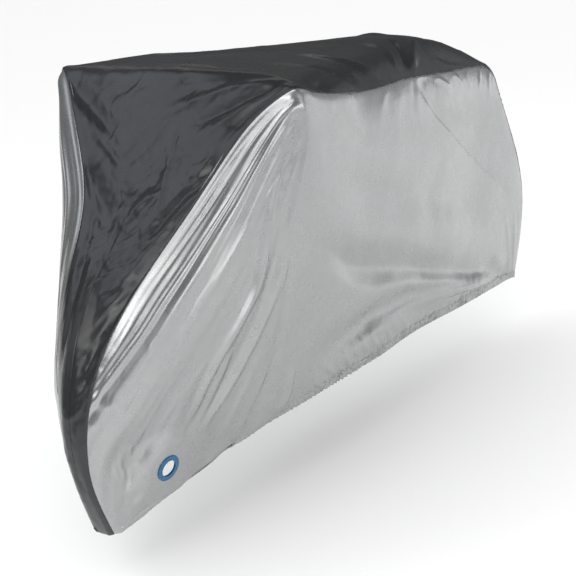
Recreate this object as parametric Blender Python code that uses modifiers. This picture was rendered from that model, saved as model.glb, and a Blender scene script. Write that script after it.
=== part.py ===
"""Fitted bicycle cover: a black middle strip between two silver side panels, with one
eyelet low on each side near the front.

The cloth is modelled as it hangs when it is in use: taut between the points that carry
it, drawn in along its elastic hem, hollow and open below.

Metres, +Z up, +X towards the front, +Y towards the left side.
"""
import math

import bmesh
import bpy
import numpy as np
from mathutils import Matrix, Vector

# ---------------------------------------------------------------- named sizes
# Working frame: x = 0 at the middle of the rear, z = 0 on the ground, y = 0 in the middle.
# ORIGIN is the point under the middle of the top, at the front, and becomes (0, 0, 0).
ORIGIN = (0.930, 0.0, 0.925)

CLOTH = 0.0015            # thickness of every sheet
GAP = 0.0003              # between pieces that meet edge to edge

TURN_OF_FRONT = 0.183     # the lower front points this far (rad) to the left
TURN_AXIS_X = 1.077       # where the turned part begins, at the height below
ROUND_R = 0.335           # radius that the round front and rear ends follow

EYELET_OUTER = 0.0275     # outer radius of the eyelet's flange
EYELET_HOLE = 0.0170      # radius of its opening
EYELET_BARREL = 0.0198    # radius of the barrel that goes through the cloth
EYELET_FLANGE = 0.0014    # thickness of each flange
STRIP_W = 0.070           # flat strip of cloth that holds an eyelet, along the hem
STRIP_H = 0.070           # and across it
FLAT_R = 0.052            # the cloth lies flat this far round an eyelet
FLAT_FADE = 0.040         # and takes its own shape again over this much more

# ---------------------------------------------------------------- sections
# One row for each section, from the low front tip up over the top and down to the rear tip.
# x, z: where the middle line passes; turn: which way the cloth faces there, in degrees;
# left, right: half widths of the black strip, along the cloth;
# hem_x, hem_w, hem_z: the hem beside that section, hem_w being its distance from the middle.
SECTION_COLUMNS = ("name", "x", "z", "turn", "left", "right", "hem_x", "hem_w", "hem_z")
SECTIONS = [
    ("front tip",   1.336, .108, -28, .026, .018, 1.316, .036, .113),
    ("low front",   1.375, .200, -25, .027, .030, 1.252, .056, .125),
    ("front",       1.405, .310,  -4, .028, .036, 1.150, .075, .142),
    ("high front",  1.400, .420,  15, .034, .052, 1.040, .085, .152),
    ("shin",        1.340, .540,  35, .056, .078, 0.950, .100, .179),
    ("slope low",   1.270, .630,  45, .095, .070, 0.850, .115, .187),
    ("slope mid",   1.170, .725,  46, .151, .098, 0.770, .128, .196),
    ("slope high",  1.070, .820,  50, .197, .182, 0.700, .136, .203),
    ("brow",        0.985, .905,  62, .266, .274, 0.630, .140, .206),
    ("crown",       0.945, .925,  82, .308, .314, 0.580, .140, .207),
    ("top 1",       0.800, .915,  90, .296, .290, 0.515, .137, .206),
    ("top 2",       0.600, .900,  92, .261, .255, 0.440, .125, .204),
    ("top 3",       0.420, .880,  92, .208, .208, 0.350, .113, .200),
    ("peak",        0.240, .865,  90, .168, .166, 0.250, .100, .190),
    ("back 1",      0.080, .810, 100, .123, .118, 0.140, .088, .178),
    ("back 2",     -0.080, .755, 105, .059, .062, 0.030, .075, .168),
    ("rear corner", -0.195, .705, 135, .034, .034, -0.070, .060, .158),
    ("rear high",  -0.252, .575, 165, .024, .026, -0.130, .052, .152),
    ("rear mid",   -0.312, .450, 170, .022, .024, -0.175, .046, .148),
    ("rear low",   -0.338, .300, 185, .022, .024, -0.210, .042, .145),
    ("rear tip",   -0.262, .125, 222, .024, .026, -0.235, .040, .140),
]

# Small local trims of the middle strip's half widths: side, section number, reach in
# section numbers, amount in metres
TRIMS = [
    ("left",  1.50, 0.60, -.003),
    ("left",  3.60, 0.60, -.002),
    ("left",  4.60, 0.90, -.005),
    ("left",  6.00, 1.20, -.007),
    ("left",  7.50, 0.36, -.014),
    ("left",  8.25, 0.28,  .008),
    ("left",  9.00, 0.45, -.004),
    ("left", 11.20, 1.00, -.003),
]

# What the cloth is stretched over, as balls: where, and their radius. Each is on both
# sides of the middle, at +y and -y.
CARRIED_AT = [
    # name             x      y     z     radius
    ("front tip l",  1.326,  .052, .118, .010),
    ("front tip r",  1.326,  .022, .118, .010),
    ("left corner",   .958,  .292, .899, .016),
    ("right corner",  .958, -.302, .900, .016),
    ("crown left",    .950,  .120, .914, .014),
    ("crown right",   .950, -.120, .916, .014),
    ("crown middle",  .925,  .000, .924, .014),
    ("peak front",    .300,  .000, .846, .014),
    ("peak left",     .215,  .040, .843, .016),
    ("peak right",    .215, -.040, .843, .016),
    ("peak rear l",   .100,  .045, .812, .014),
    ("peak rear r",   .100, -.045, .810, .014),
    ("rear corner l", -.160, .032, .704, .010),
    ("rear corner r", -.172, -.032, .716, .010),
]
# The round ends: middle x, middle z, radius, half thickness, from and to angle, turned or not
ROUND_ENDS = [
    ("front end", TURN_AXIS_X, ROUND_R, .333, .024, -40, 60, TURN_OF_FRONT),
    ("rear end",  0.0,         ROUND_R, .333, .024, 152, 216, 0.0),
]
# Points that stay sharp while the rest of the cloth is eased
HELD_POINTS = [(.958, .300, .900), (.958, -.310, .900), (.24, 0, .86), (-.20, 0, .70)]

# Soft swellings (+) and hollows (-): section number, place across (-2 left hem, -1 left seam,
# 0 middle, 1 right seam, 2 right hem), how far they reach along and across, and height.
SWELLS = [
    # name                    u     across  reach_m  height_m
    ("right brow",            7.0,   1.25,  .150,    .012),
    ("right shin",            5.2,   1.15,  .150,    .003),
    ("right cheek",           3.3,   1.20,  .110,    .010),
    ("far top edge 1",       10.0,   0.85,  .110,    .009),
    ("far top edge 2",       11.3,   0.80,  .120,    .005),
    ("left top edge hollow", 10.7,  -1.00,  .100,   -.012),
    ("left lower hollow",     9.5,  -1.62,  .170,   -.012),
    ("right lower hollow",    9.3,   1.60,  .180,   -.014),
    ("left rear hollow",     14.5,  -1.45,  .150,   -.010),
    ("right rear hollow",    14.3,   1.45,  .150,   -.010),
    ("face middle hollow",    6.4,   0.00,  .140,   -.014),
    ("top hollow",           11.2,   0.05,  .130,   -.010),
]

# Main folds: from and to (section number, place across), half width, height (a trough is
# negative), and lean: how much steeper one flank is.
FOLDS = [
    # name                       u0    a0     u1    a1    width  height  lean
    ("left corner 1",            8.75, -1.08, 2.9, -1.12,  .026,  .012,   .35),
    ("left corner 2",            8.85, -1.14, 3.4, -1.33,  .026, -.012,   .25),
    ("left corner 3",            8.95, -1.16, 3.9, -1.48,  .028,  .011,   .30),
    ("left corner 4",            9.05, -1.18, 4.9, -1.70,  .032, -.009,   .20),
    ("left corner 5",            9.20, -1.16, 6.3, -1.86,  .034,  .008,   .25),
    ("left corner 6",            9.40, -1.12, 8.0, -1.90,  .036, -.007,   .10),
    ("left rear ridge",         13.6,  -1.05, 17.9, -1.30, .040,  .010,   .45),
    ("left rear draw 1",        19.0,  -1.80, 12.6, -1.56, .036, -.009,   .00),
    ("left rear draw 2",        19.0,  -1.85, 12.2, -1.78, .030,  .008,   .20),
    ("left peak drop",          13.2,  -0.55, 13.4, -1.00, .034,  .008,   .30),
    ("face left draw",           4.3,  -0.95, 2.6,   0.20, .026, -.008,   .20),
    ("face v left",              7.2,  -0.55, 4.0,   0.35, .040,  .010,   .20),
    ("face v right",             7.6,   0.75, 4.0,   0.45, .036,  .009,  -.20),
    ("brow trough",              8.1,  -0.80, 8.2,   0.80, .040, -.008,   .10),
    ("right corner 1",           8.8,   1.10, 3.2,   1.25, .030,  .011,   .30),
    ("right corner 2",           8.9,   1.16, 3.9,   1.52, .032, -.011,   .20),
    ("right corner 3",           9.1,   1.18, 5.4,   1.78, .034,  .009,   .25),
    ("right corner 4",           9.4,   1.14, 7.6,   1.88, .036, -.008,   .10),
    ("right rear ridge",        13.4,   1.05, 17.6,  1.34, .040,  .010,   .40),
    ("right rear draw",         19.0,   1.80, 12.4,  1.62, .034, -.009,   .10),
]

# Where the eyelets sit: section number and place across
EYELETS = [("left", 2.30, -1.621), ("right", 2.20, 1.570)]

# Sections are sampled this densely: from section, to section, steps
STEPS_ALONG = [(0, 2, 5), (2, 4, 5), (4, 9, 15), (9, 14, 11), (14, 17, 5), (17, 20, 4)]
STEPS_PANEL = 16
STEPS_STRIP = 6           # on each side of the middle
RING_STEPS = 22           # round an eyelet


# ---------------------------------------------------------------- the form of the cloth
COL = {c: np.array([row[i] for row in SECTIONS], float)
       for i, c in enumerate(SECTION_COLUMNS) if i}


def middle_y(x, z):
    """y of the middle plane, which turns to the left towards the low front."""
    t = np.asarray(x) - (TURN_AXIS_X - (np.asarray(z) - ROUND_R) * 0.2)
    return TURN_OF_FRONT * 0.5 * (t + np.sqrt(t * t + 0.03 ** 2))


def unit(v):
    return v / np.linalg.norm(v)


def trimmed(u, column):
    """Half width of the middle strip at u, with the small local trims of its cut."""
    return read(u, column) + sum(amount * math.exp(-((u - at) / reach) ** 2)
                                 for side, at, reach, amount in TRIMS if side == column)


def read(u, column):
    """A column of the section table, read smoothly between its rows."""
    y = COL[column]
    i = min(int(u), len(y) - 2)
    f = u - i
    y0, y1, y2, y3 = y[max(i - 1, 0)], y[i], y[i + 1], y[min(i + 2, len(y) - 1)]
    return y1 + .5 * f * (y2 - y0 + f * (2 * y0 - 5 * y1 + 4 * y2 - y3
                                         + f * (3 * (y1 - y2) + y3 - y0)))


def ball(x, y, z, r, n=8):
    return [(x + r * math.sin(math.pi * i / n) * math.cos(math.pi * j / n),
             y + r * math.sin(math.pi * i / n) * math.sin(math.pi * j / n),
             z + r * math.cos(math.pi * i / n))
            for i in range(n + 1) for j in range(2 * n)]


def round_end(cx, cz, radius, half, a0, a1, turn, n=40, tread=.012):
    out = []
    for i in range(n + 1):
        a = math.radians(a0 + (a1 - a0) * i / n)
        for rr, w in ((radius, -half * .55), (radius, half * .55),
                      (radius - tread, -half), (radius - tread, half)):
            s = rr * math.cos(a)
            out.append((cx + s * math.cos(turn) - w * math.sin(turn),
                        s * math.sin(turn) + w * math.cos(turn), cz + rr * math.sin(a)))
    return out


def taut_form():
    """Planes of the tightest form round everything that carries the cloth: normals, offsets."""
    points = []
    for _, x, y, z, r in CARRIED_AT:
        points += ball(x, y, z, r)
    for _, cx, cz, radius, half, a0, a1, turn in ROUND_ENDS:
        points += round_end(cx, cz, radius, half, a0, a1, turn)
    for row in SECTIONS:
        x, w, z = row[6:9]
        m = float(middle_y(x, z))
        points += [(x, m + w, z), (x, m - w, z)]
    bm = bmesh.new()
    verts = [bm.verts.new(p) for p in points]
    bmesh.ops.convex_hull(bm, input=verts)
    bm.normal_update()
    inside = np.mean(points, axis=0)
    normals, offsets = [], []
    for f in bm.faces:
        if f.calc_area() < 1e-9:
            continue
        n, p = np.array(f.normal, float), np.array(f.verts[0].co, float)
        c = float(n @ p)
        if n @ inside > c:
            n, c = -n, -c
        normals.append(n)
        offsets.append(c)
    bm.free()
    return np.array(normals), np.array(offsets)


def leave(form, inside, directions):
    """How far it is from a point inside to the form, along each direction."""
    normals, offsets = form
    slope, room = directions @ normals.T, offsets - normals @ inside
    with np.errstate(divide="ignore", invalid="ignore"):
        t = np.where(slope > 1e-9, room / slope, np.inf)
    return t.min(1)


def along(points):
    return np.concatenate([[0], np.cumsum(np.linalg.norm(np.diff(points, axis=0), axis=1))])


def spaced(points, s, q):
    return np.stack([np.interp(q, s, points[:, k]) for k in range(3)], -1)


BASE_ALONG, BASE_PANEL, BASE_STRIP = 60, 20, 8


def base_cloth():
    """The cloth without folds, as rows (sections) of points from the left hem to the right."""
    form, rows = taut_form(), []
    for u in np.linspace(0, len(SECTIONS) - 1, BASE_ALONG + 1):
        x, z, turn = read(u, "x"), read(u, "z"), math.radians(read(u, "turn"))
        out = np.array([math.cos(turn), 0, math.sin(turn)])
        inside = np.array([x, 0, z]) - .16 * out
        inside[1] = float(middle_y(inside[0], inside[2]))
        out = unit(np.array([x, float(middle_y(x, z)), z]) - inside)
        halves = []
        for side, half in ((1, trimmed(u, "left")), (-1, trimmed(u, "right"))):
            t = np.linspace(0, math.radians(100), 240)[:, None]
            rays = np.cos(t) * out + np.sin(t) * np.array([0, side, 0])
            arc = inside + leave(form, inside, rays)[:, None] * rays
            strip = spaced(arc, along(arc), np.linspace(0, half, BASE_STRIP + 1))
            seam = strip[-1]
            hx, hw, hz = read(u, "hem_x"), read(u, "hem_w"), read(u, "hem_z")
            hem = np.array([hx, float(middle_y(hx, hz)) + side * hw, hz])
            mx, mz = (seam[0] + hem[0]) / 2, (seam[2] + hem[2]) / 2
            mid = np.array([mx, float(middle_y(mx, mz)), mz])
            a, b = unit(seam - mid), unit(hem - mid)
            whole, t = math.acos(np.clip(a @ b, -1, 1)), np.linspace(0, 1, 160)[:, None]
            rays = (np.sin((1 - t) * whole) * a + np.sin(t * whole) * b) / math.sin(whole)
            arc = mid + leave(form, mid, rays)[:, None] * rays
            arc[0], arc[-1] = seam, hem
            s = along(arc)
            halves.append((strip, spaced(arc, s, np.linspace(0, s[-1], BASE_PANEL + 1))))
        (sl, pl), (sr, pr) = halves
        rows.append(np.concatenate([pl[::-1], sl[::-1][1:], sr[1:], pr[1:]]))
    grid = np.array(rows)
    # ease the cloth everywhere but at the points that hold it
    ease = np.full(grid.shape[:2], .5)
    for q in HELD_POINTS:
        ease *= 1 - .85 * np.exp(-((grid - np.array(q)) ** 2).sum(-1) / .06 ** 2)
    for _ in range(4):
        new = grid.copy()
        new[1:-1, 1:-1] = (grid[:-2, 1:-1] + grid[2:, 1:-1] + grid[1:-1, :-2] + grid[1:-1, 2:]) / 4
        for e in (0, -1):
            new[1:-1, e] = (grid[:-2, e] + grid[2:, e]) / 2
        grid = grid + ease[..., None] * (new - grid)
    return grid


def across_to_column(a):
    """Place across (-2 ... 2) to a column number of the base cloth."""
    a = np.asarray(a, float)
    return np.interp(a, [-2, -1, 0, 1, 2],
                     [0, BASE_PANEL, BASE_PANEL + BASE_STRIP, BASE_PANEL + 2 * BASE_STRIP,
                      2 * BASE_PANEL + 2 * BASE_STRIP])


def cubic(grid, i, axis):
    """Reads a grid at fractional places along one axis."""
    n = grid.shape[axis]
    k = np.clip(np.floor(i).astype(int), 0, n - 2)
    f = (i - k).reshape([-1 if d == axis else 1 for d in range(grid.ndim)])
    p = [np.take(grid, np.clip(k + d, 0, n - 1), axis) for d in (-1, 0, 1, 2)]
    return p[1] + .5 * f * (p[2] - p[0] + f * (2 * p[0] - 5 * p[1] + 4 * p[2] - p[3]
                                               + f * (3 * (p[1] - p[2]) + p[3] - p[0])))


def sheet_at(base, us, across):
    """Points of the base cloth at every pairing of section numbers and places across."""
    rows = cubic(base, np.asarray(us, float) * BASE_ALONG / (len(SECTIONS) - 1), 0)
    return cubic(rows, across_to_column(across), 1)


def points_at(base, us, across):
    """Points of the base cloth at pairs of section number and place across."""
    i = np.asarray(us, float) * BASE_ALONG / (len(SECTIONS) - 1)
    j = across_to_column(across)
    out = []
    for a, b in zip(i, j):
        k, m = min(int(a), base.shape[0] - 2), min(int(b), base.shape[1] - 2)
        f, g = a - k, b - m
        out.append((1 - f) * ((1 - g) * base[k, m] + g * base[k, m + 1])
                   + f * ((1 - g) * base[k + 1, m] + g * base[k + 1, m + 1]))
    return np.array(out)


def normals_of(grid):
    du, dv = np.gradient(grid, axis=0), np.gradient(grid, axis=1)
    n = np.cross(du, dv)
    return n / np.maximum(np.linalg.norm(n, axis=-1, keepdims=True), 1e-12)


def fold_height(p, us, across, base, row):
    """Height of one fold at every point p of a sheet."""
    _, u0, a0, u1, a1, width, height, lean = row
    t = np.linspace(0, 1, 25)
    line = points_at(base, u0 + (u1 - u0) * t, a0 + (a1 - a0) * t)
    best, where, hand = np.full(p.shape[:2], np.inf), np.zeros(p.shape[:2]), np.zeros(p.shape[:2])
    n = normals_of(p)
    for k in range(len(line) - 1):
        a, d = line[k], line[k + 1] - line[k]
        q = np.clip(((p - a) @ d) / (d @ d), 0, 1)
        off = p - a - q[..., None] * d
        dist = np.linalg.norm(off, axis=-1)
        nearer = dist < best
        best = np.where(nearer, dist, best)
        where = np.where(nearer, (k + q) / (len(line) - 1), where)
        hand = np.where(nearer, np.sign((np.cross(n, off) * d).sum(-1)), hand)
    x = best / (width * np.clip(.35 + 1.6 * where, .35, 1)) * (1 + lean * hand)
    shape = 1 / np.cosh(1.6 * x) ** 2
    ends = np.clip(where / .30, 0, 1) * np.clip((1 - where) / .25, 0, 1)
    ends = ends * ends * (3 - 2 * ends)
    near = (np.abs(across[None, :] - (a0 + (a1 - a0) * where)) < .9)
    return height * shape * ends * near


def cloth(base, us, across, folds=FOLDS, swells=SWELLS):
    """The folded cloth at every pairing of section numbers and places across."""
    p, across = sheet_at(base, us, across), np.asarray(across, float)
    height = np.zeros(p.shape[:2])
    for _, u, a, reach, h in swells:
        d = np.linalg.norm(p - points_at(base, [u], [a])[0], axis=-1)
        height += h * np.exp(-(d / reach) ** 2) * (np.abs(across - a) < 1.2)[None, :]
    for row in folds:
        height += fold_height(p, us, across, base, row)
    # nothing lifts the hem itself or the two tips much
    edge = np.clip((2 - np.abs(across)) / .12, 0.25, 1)[None, :]
    tips = np.clip(np.minimum(us, len(SECTIONS) - 1 - us) / .8, .2, 1)[:, None]
    return p + (height * edge * tips)[..., None] * normals_of(p)


# ---------------------------------------------------------------- the pieces
def steps_along():
    us = []
    for a, b, n in STEPS_ALONG:
        us += list(np.linspace(a, b, n, endpoint=False))
    return np.array(us + [float(len(SECTIONS) - 1)])


def material(name, color, roughness, metallic=0.0):
    m = bpy.data.materials.new(name)
    m.use_nodes = True
    b = m.node_tree.nodes["Principled BSDF"]
    b.inputs["Base Color"].default_value = (*color, 1)
    b.inputs["Roughness"].default_value = roughness
    b.inputs["Metallic"].default_value = metallic
    m.diffuse_color = (*color, 1)
    return m


def add_mesh(name, verts, faces, mat, collection):
    mesh = bpy.data.meshes.new(name)
    mesh.from_pydata([tuple(v) for v in verts], [], faces)
    mesh.update()
    obj = bpy.data.objects.new(name, mesh)
    obj.data.materials.append(mat)
    collection.objects.link(obj)
    return obj


def add_sheet(name, grid, mat, collection):
    """A lofted sheet between the sections, thickened outwards."""
    r, c = grid.shape[:2]
    faces = [(i * c + j, (i + 1) * c + j, (i + 1) * c + j + 1, i * c + j + 1)
             for i in range(r - 1) for j in range(c - 1)]
    obj = add_mesh(name, grid.reshape(-1, 3), faces, mat, collection)
    solid = obj.modifiers.new("cloth", "SOLIDIFY")
    solid.thickness = CLOTH
    solid.offset = 1
    for f in obj.data.polygons:
        f.use_smooth = True
    return obj


def main():
    for o in list(bpy.data.objects):
        bpy.data.objects.remove(o, do_unlink=True)
    pieces = bpy.data.collections.new("bicycle_cover")
    cutters = bpy.data.collections.new("cutters")
    bpy.context.scene.collection.children.link(pieces)
    bpy.context.scene.collection.children.link(cutters)

    silver_l = material("silver_cloth_left", (.62, .63, .64), .42, .25)
    silver_r = material("silver_cloth_right", (.62, .63, .64), .42, .25)
    black = material("black_cloth", (.022, .023, .025), .48)
    blue = material("blue_eyelet", (.02, .14, .32), .35)

    base = base_cloth()
    us = steps_along()
    strip_a = np.linspace(-1, 1, 2 * STEPS_STRIP + 1)
    left_a = np.linspace(-2, -1, STEPS_PANEL + 1)
    right_a = np.linspace(1, 2, STEPS_PANEL + 1)
    grid = cloth(base, us, np.concatenate([left_a, strip_a[1:-1], right_a]))
    left = grid[:, :STEPS_PANEL + 1]
    strip = grid[:, STEPS_PANEL:STEPS_PANEL + 2 * STEPS_STRIP + 1].copy()
    right = grid[:, STEPS_PANEL + 2 * STEPS_STRIP:]
    # the strip's edges draw back from the seams, so that the pieces stay apart, and more
    # where the seam is hollow, because there the thickness of both grows together
    strip_n = normals_of(strip)
    for e, inner, panel_n in ((0, 1, normals_of(left)[:, -1]), (-1, -2, normals_of(right)[:, 0])):
        pull = strip[:, inner] - strip[:, e]
        pull /= np.linalg.norm(pull, axis=1, keepdims=True)
        hollow = np.maximum(((panel_n - strip_n[:, e]) * pull).sum(1), 0)
        strip[:, e] += (2 * GAP + 1.3 * CLOTH * hollow)[:, None] * pull
    shift = np.array(ORIGIN)
    add_sheet("middle_strip", strip - shift, black, pieces)

    for side, u, a in EYELETS:
        panel = left if side == "left" else right
        panel_a = left_a if side == "left" else right_a
        mat = silver_l if side == "left" else silver_r
        near = np.array([a - .1, a, a + .1])
        spot = cloth(base, np.array([u - .15, u, u + .15]), near)
        centre = spot[1, 1]
        n = unit(np.cross(spot[2, 1] - spot[0, 1], spot[1, 2] - spot[1, 0]))
        t = unit(spot[2, 1] - spot[0, 1] - n * (n @ (spot[2, 1] - spot[0, 1])))
        b = np.cross(n, t)
        flat = panel.copy()
        # the cloth lies flat round the eyelet
        off = flat - centre
        d = np.linalg.norm(off, axis=-1)
        keep = np.clip((d - FLAT_R) / FLAT_FADE, 0, 1)
        keep = keep * keep * (3 - 2 * keep)
        keep = np.maximum(keep, 1 - np.clip((np.abs(panel_a) - 1) / .16, 0, 1)[None, :])
        flat -= ((1 - keep) * (off @ n))[..., None] * n
        obj = add_sheet(f"side_panel_{side}", flat - shift, mat, pieces)
        place = Matrix((
            (t[0], b[0], n[0], centre[0] - shift[0]), (t[1], b[1], n[1], centre[1] - shift[1]),
            (t[2], b[2], n[2], centre[2] - shift[2]), (0, 0, 0, 1)))
        # opening for the strip that holds the eyelet
        bpy.ops.mesh.primitive_cube_add(size=1)
        cutter = bpy.context.object
        cutter.name = f"strip_cutter_{side}"
        cutter.data.transform(Matrix.Diagonal((STRIP_W + 2 * GAP, STRIP_H + 2 * GAP, .03, 1)))
        cutter.matrix_world = place
        cutter.hide_render = True
        cutter.display_type = "WIRE"
        for c in list(cutter.users_collection):
            c.objects.unlink(cutter)
        cutters.objects.link(cutter)
        cut = obj.modifiers.new("eyelet_strip_opening", "BOOLEAN")
        cut.operation = "DIFFERENCE"
        cut.solver = "EXACT"
        cut.object = cutter
        # the strip: a flat outline with a round hole
        curve = bpy.data.curves.new(f"eyelet_strip_{side}", "CURVE")
        curve.dimensions = "2D"
        curve.fill_mode = "BOTH"
        curve.extrude = CLOTH / 2
        edge = curve.splines.new("POLY")
        corners = [(-1, -1), (1, -1), (1, 1), (-1, 1)]
        edge.points.add(3)
        for q, (cx, cy) in zip(edge.points, corners):
            q.co = (cx * STRIP_W / 2, cy * STRIP_H / 2, 0, 1)
        edge.use_cyclic_u = True
        hole = curve.splines.new("POLY")
        hole.points.add(RING_STEPS - 1)
        for k, q in enumerate(hole.points):
            ang = 2 * math.pi * k / RING_STEPS
            q.co = ((EYELET_BARREL + GAP) * math.cos(ang), (EYELET_BARREL + GAP) * math.sin(ang), 0, 1)
        hole.use_cyclic_u = True
        tmp = bpy.data.objects.new(f"eyelet_strip_{side}", curve)
        pieces.objects.link(tmp)
        bpy.context.view_layer.update()
        mesh = bpy.data.meshes.new_from_object(tmp.evaluated_get(bpy.context.evaluated_depsgraph_get()))
        bpy.data.objects.remove(tmp, do_unlink=True)
        bm = bmesh.new()
        bm.from_mesh(mesh)
        bmesh.ops.remove_doubles(bm, verts=bm.verts, dist=1e-6)
        bm.to_mesh(mesh)
        bm.free()
        mesh.transform(Matrix.Translation((0, 0, CLOTH / 2)))
        holder = bpy.data.objects.new(f"eyelet_strip_{side}", mesh)
        holder.data.materials.clear()
        holder.data.materials.append(mat)
        holder.matrix_world = place
        pieces.objects.link(holder)
        # the eyelet: a turned ring whose two flanges lie on either face of the strip
        face, back = CLOTH + GAP, -GAP
        top, foot = face + EYELET_FLANGE, back - EYELET_FLANGE
        r0, r1, r2 = EYELET_HOLE, EYELET_BARREL, EYELET_OUTER
        e = .0006
        profile = [(r2 - e, top), (r2, face), (r1, face), (r1, back), (r2 - .002, back),
                   (r2 - .003, foot), (r0 + e, foot), (r0, foot + e), (r0, top - e), (r0 + e, top)]
        verts = [(x, 0, z) for x, z in profile]
        ring_mesh = bpy.data.meshes.new(f"eyelet_{side}")
        ring_mesh.from_pydata(verts, [(k, (k + 1) % len(verts)) for k in range(len(verts))], [])
        ring = bpy.data.objects.new(f"eyelet_{side}", ring_mesh)
        ring.data.materials.append(blue)
        pieces.objects.link(ring)
        turn = ring.modifiers.new("turned", "SCREW")
        turn.steps = turn.render_steps = RING_STEPS
        turn.use_merge_vertices = True
        turn.merge_threshold = .00001
        turn.use_normal_calculate = False
        ring.matrix_world = place


main()
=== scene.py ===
"""Looks of the fitted bicycle cover: cloth with its folds, gathers, hems, seams and eyelets.

The cloth is the same taut form as the solids, sampled finely: places on it are given by a
section number u (0 at the low front tip, over the top, 20 at the rear tip) and a place
across a (-2 left hem, -1 left seam, 0 middle, 1 right seam, 2 right hem).
Metres, +Z up, +X to the front, +Y to the left side.
"""
import math

import bmesh
import bpy
import numpy as np
from mathutils import Matrix, Vector


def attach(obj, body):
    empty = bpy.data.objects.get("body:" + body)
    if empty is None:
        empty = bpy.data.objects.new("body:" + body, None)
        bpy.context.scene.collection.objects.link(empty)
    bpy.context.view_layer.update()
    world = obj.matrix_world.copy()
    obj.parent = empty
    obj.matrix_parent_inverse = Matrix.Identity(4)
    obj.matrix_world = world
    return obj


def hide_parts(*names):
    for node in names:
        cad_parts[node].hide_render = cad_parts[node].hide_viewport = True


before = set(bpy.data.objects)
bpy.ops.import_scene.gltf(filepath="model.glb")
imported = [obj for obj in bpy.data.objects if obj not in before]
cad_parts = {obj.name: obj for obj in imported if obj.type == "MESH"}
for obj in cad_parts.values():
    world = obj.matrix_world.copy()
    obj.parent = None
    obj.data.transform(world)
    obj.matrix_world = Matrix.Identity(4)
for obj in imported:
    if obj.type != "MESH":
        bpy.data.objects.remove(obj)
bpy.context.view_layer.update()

# ---------------------------------------------------------------- named sizes
ORIGIN = (0.930, 0.0, 0.925)
TURN_OF_FRONT = 0.183
TURN_AXIS_X = 1.077
ROUND_R = 0.335

EYELET_OUTER = 0.0275
EYELET_HOLE = 0.0170
HEM = 0.021               # width of the turned-up hem
LAP = 0.007               # how far a side panel reaches under the middle strip
LIFT = 0.0010             # how far the strip's edge stands above the panel
EDGE_FOLD = 0.008         # turned-under edge of the strip

# Sections, as in the solids
SECTION_COLUMNS = ("name", "x", "z", "turn", "left", "right", "hem_x", "hem_w", "hem_z")
SECTIONS = [
    ("front tip",   1.336, .108, -28, .026, .018, 1.316, .036, .113),
    ("low front",   1.375, .200, -25, .027, .030, 1.252, .056, .125),
    ("front",       1.405, .310,  -4, .028, .036, 1.150, .075, .142),
    ("high front",  1.400, .420,  15, .034, .052, 1.040, .085, .152),
    ("shin",        1.340, .540,  35, .056, .078, 0.950, .100, .179),
    ("slope low",   1.270, .630,  45, .095, .070, 0.850, .115, .187),
    ("slope mid",   1.170, .725,  46, .151, .098, 0.770, .128, .196),
    ("slope high",  1.070, .820,  50, .197, .182, 0.700, .136, .203),
    ("brow",        0.985, .905,  62, .266, .274, 0.630, .140, .206),
    ("crown",       0.945, .925,  82, .308, .314, 0.580, .140, .207),
    ("top 1",       0.800, .915,  90, .296, .290, 0.515, .137, .206),
    ("top 2",       0.600, .900,  92, .261, .255, 0.440, .125, .204),
    ("top 3",       0.420, .880,  92, .208, .208, 0.350, .113, .200),
    ("peak",        0.240, .865,  90, .168, .166, 0.250, .100, .190),
    ("back 1",      0.080, .810, 100, .123, .118, 0.140, .088, .178),
    ("back 2",     -0.080, .755, 105, .059, .062, 0.030, .075, .168),
    ("rear corner", -0.195, .705, 135, .034, .034, -0.070, .060, .158),
    ("rear high",  -0.252, .575, 165, .024, .026, -0.130, .052, .152),
    ("rear mid",   -0.312, .450, 170, .022, .024, -0.175, .046, .148),
    ("rear low",   -0.338, .300, 185, .022, .024, -0.210, .042, .145),
    ("rear tip",   -0.262, .125, 222, .024, .026, -0.235, .040, .140),
]
LAST = len(SECTIONS) - 1
# Small local trims of the middle strip's half widths: side, section number, reach in
# section numbers, amount
TRIMS = [
    ("left",  1.50, 0.60, -.003),
    ("left",  3.60, 0.60, -.002),
    ("left",  4.60, 0.90, -.005),
    ("left",  6.00, 1.20, -.007),
    ("left",  7.50, 0.36, -.014),
    ("left",  8.25, 0.28,  .008),
    ("left",  9.00, 0.45, -.004),
    ("left", 11.20, 1.00, -.003),
]
CARRIED_AT = [
    # name             x      y     z     radius
    ("front tip l",  1.326,  .052, .118, .010),
    ("front tip r",  1.326,  .022, .118, .010),
    ("left corner",   .958,  .292, .899, .016),
    ("right corner",  .958, -.302, .900, .016),
    ("crown left",    .950,  .120, .914, .014),
    ("crown right",   .950, -.120, .916, .014),
    ("crown middle",  .925,  .000, .924, .014),
    ("peak front",    .300,  .000, .846, .014),
    ("peak left",     .215,  .040, .843, .016),
    ("peak right",    .215, -.040, .843, .016),
    ("peak rear l",   .100,  .045, .812, .014),
    ("peak rear r",   .100, -.045, .810, .014),
    ("rear corner l", -.160, .032, .704, .010),
    ("rear corner r", -.172, -.032, .716, .010),
]
ROUND_ENDS = [
    ("front end", TURN_AXIS_X, ROUND_R, .333, .024, -40, 60, TURN_OF_FRONT),
    ("rear end",  0.0,         ROUND_R, .333, .024, 152, 216, 0.0),
]
HELD_POINTS = [(.958, .300, .900), (.958, -.310, .900), (.24, 0, .86), (-.20, 0, .70)]
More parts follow.
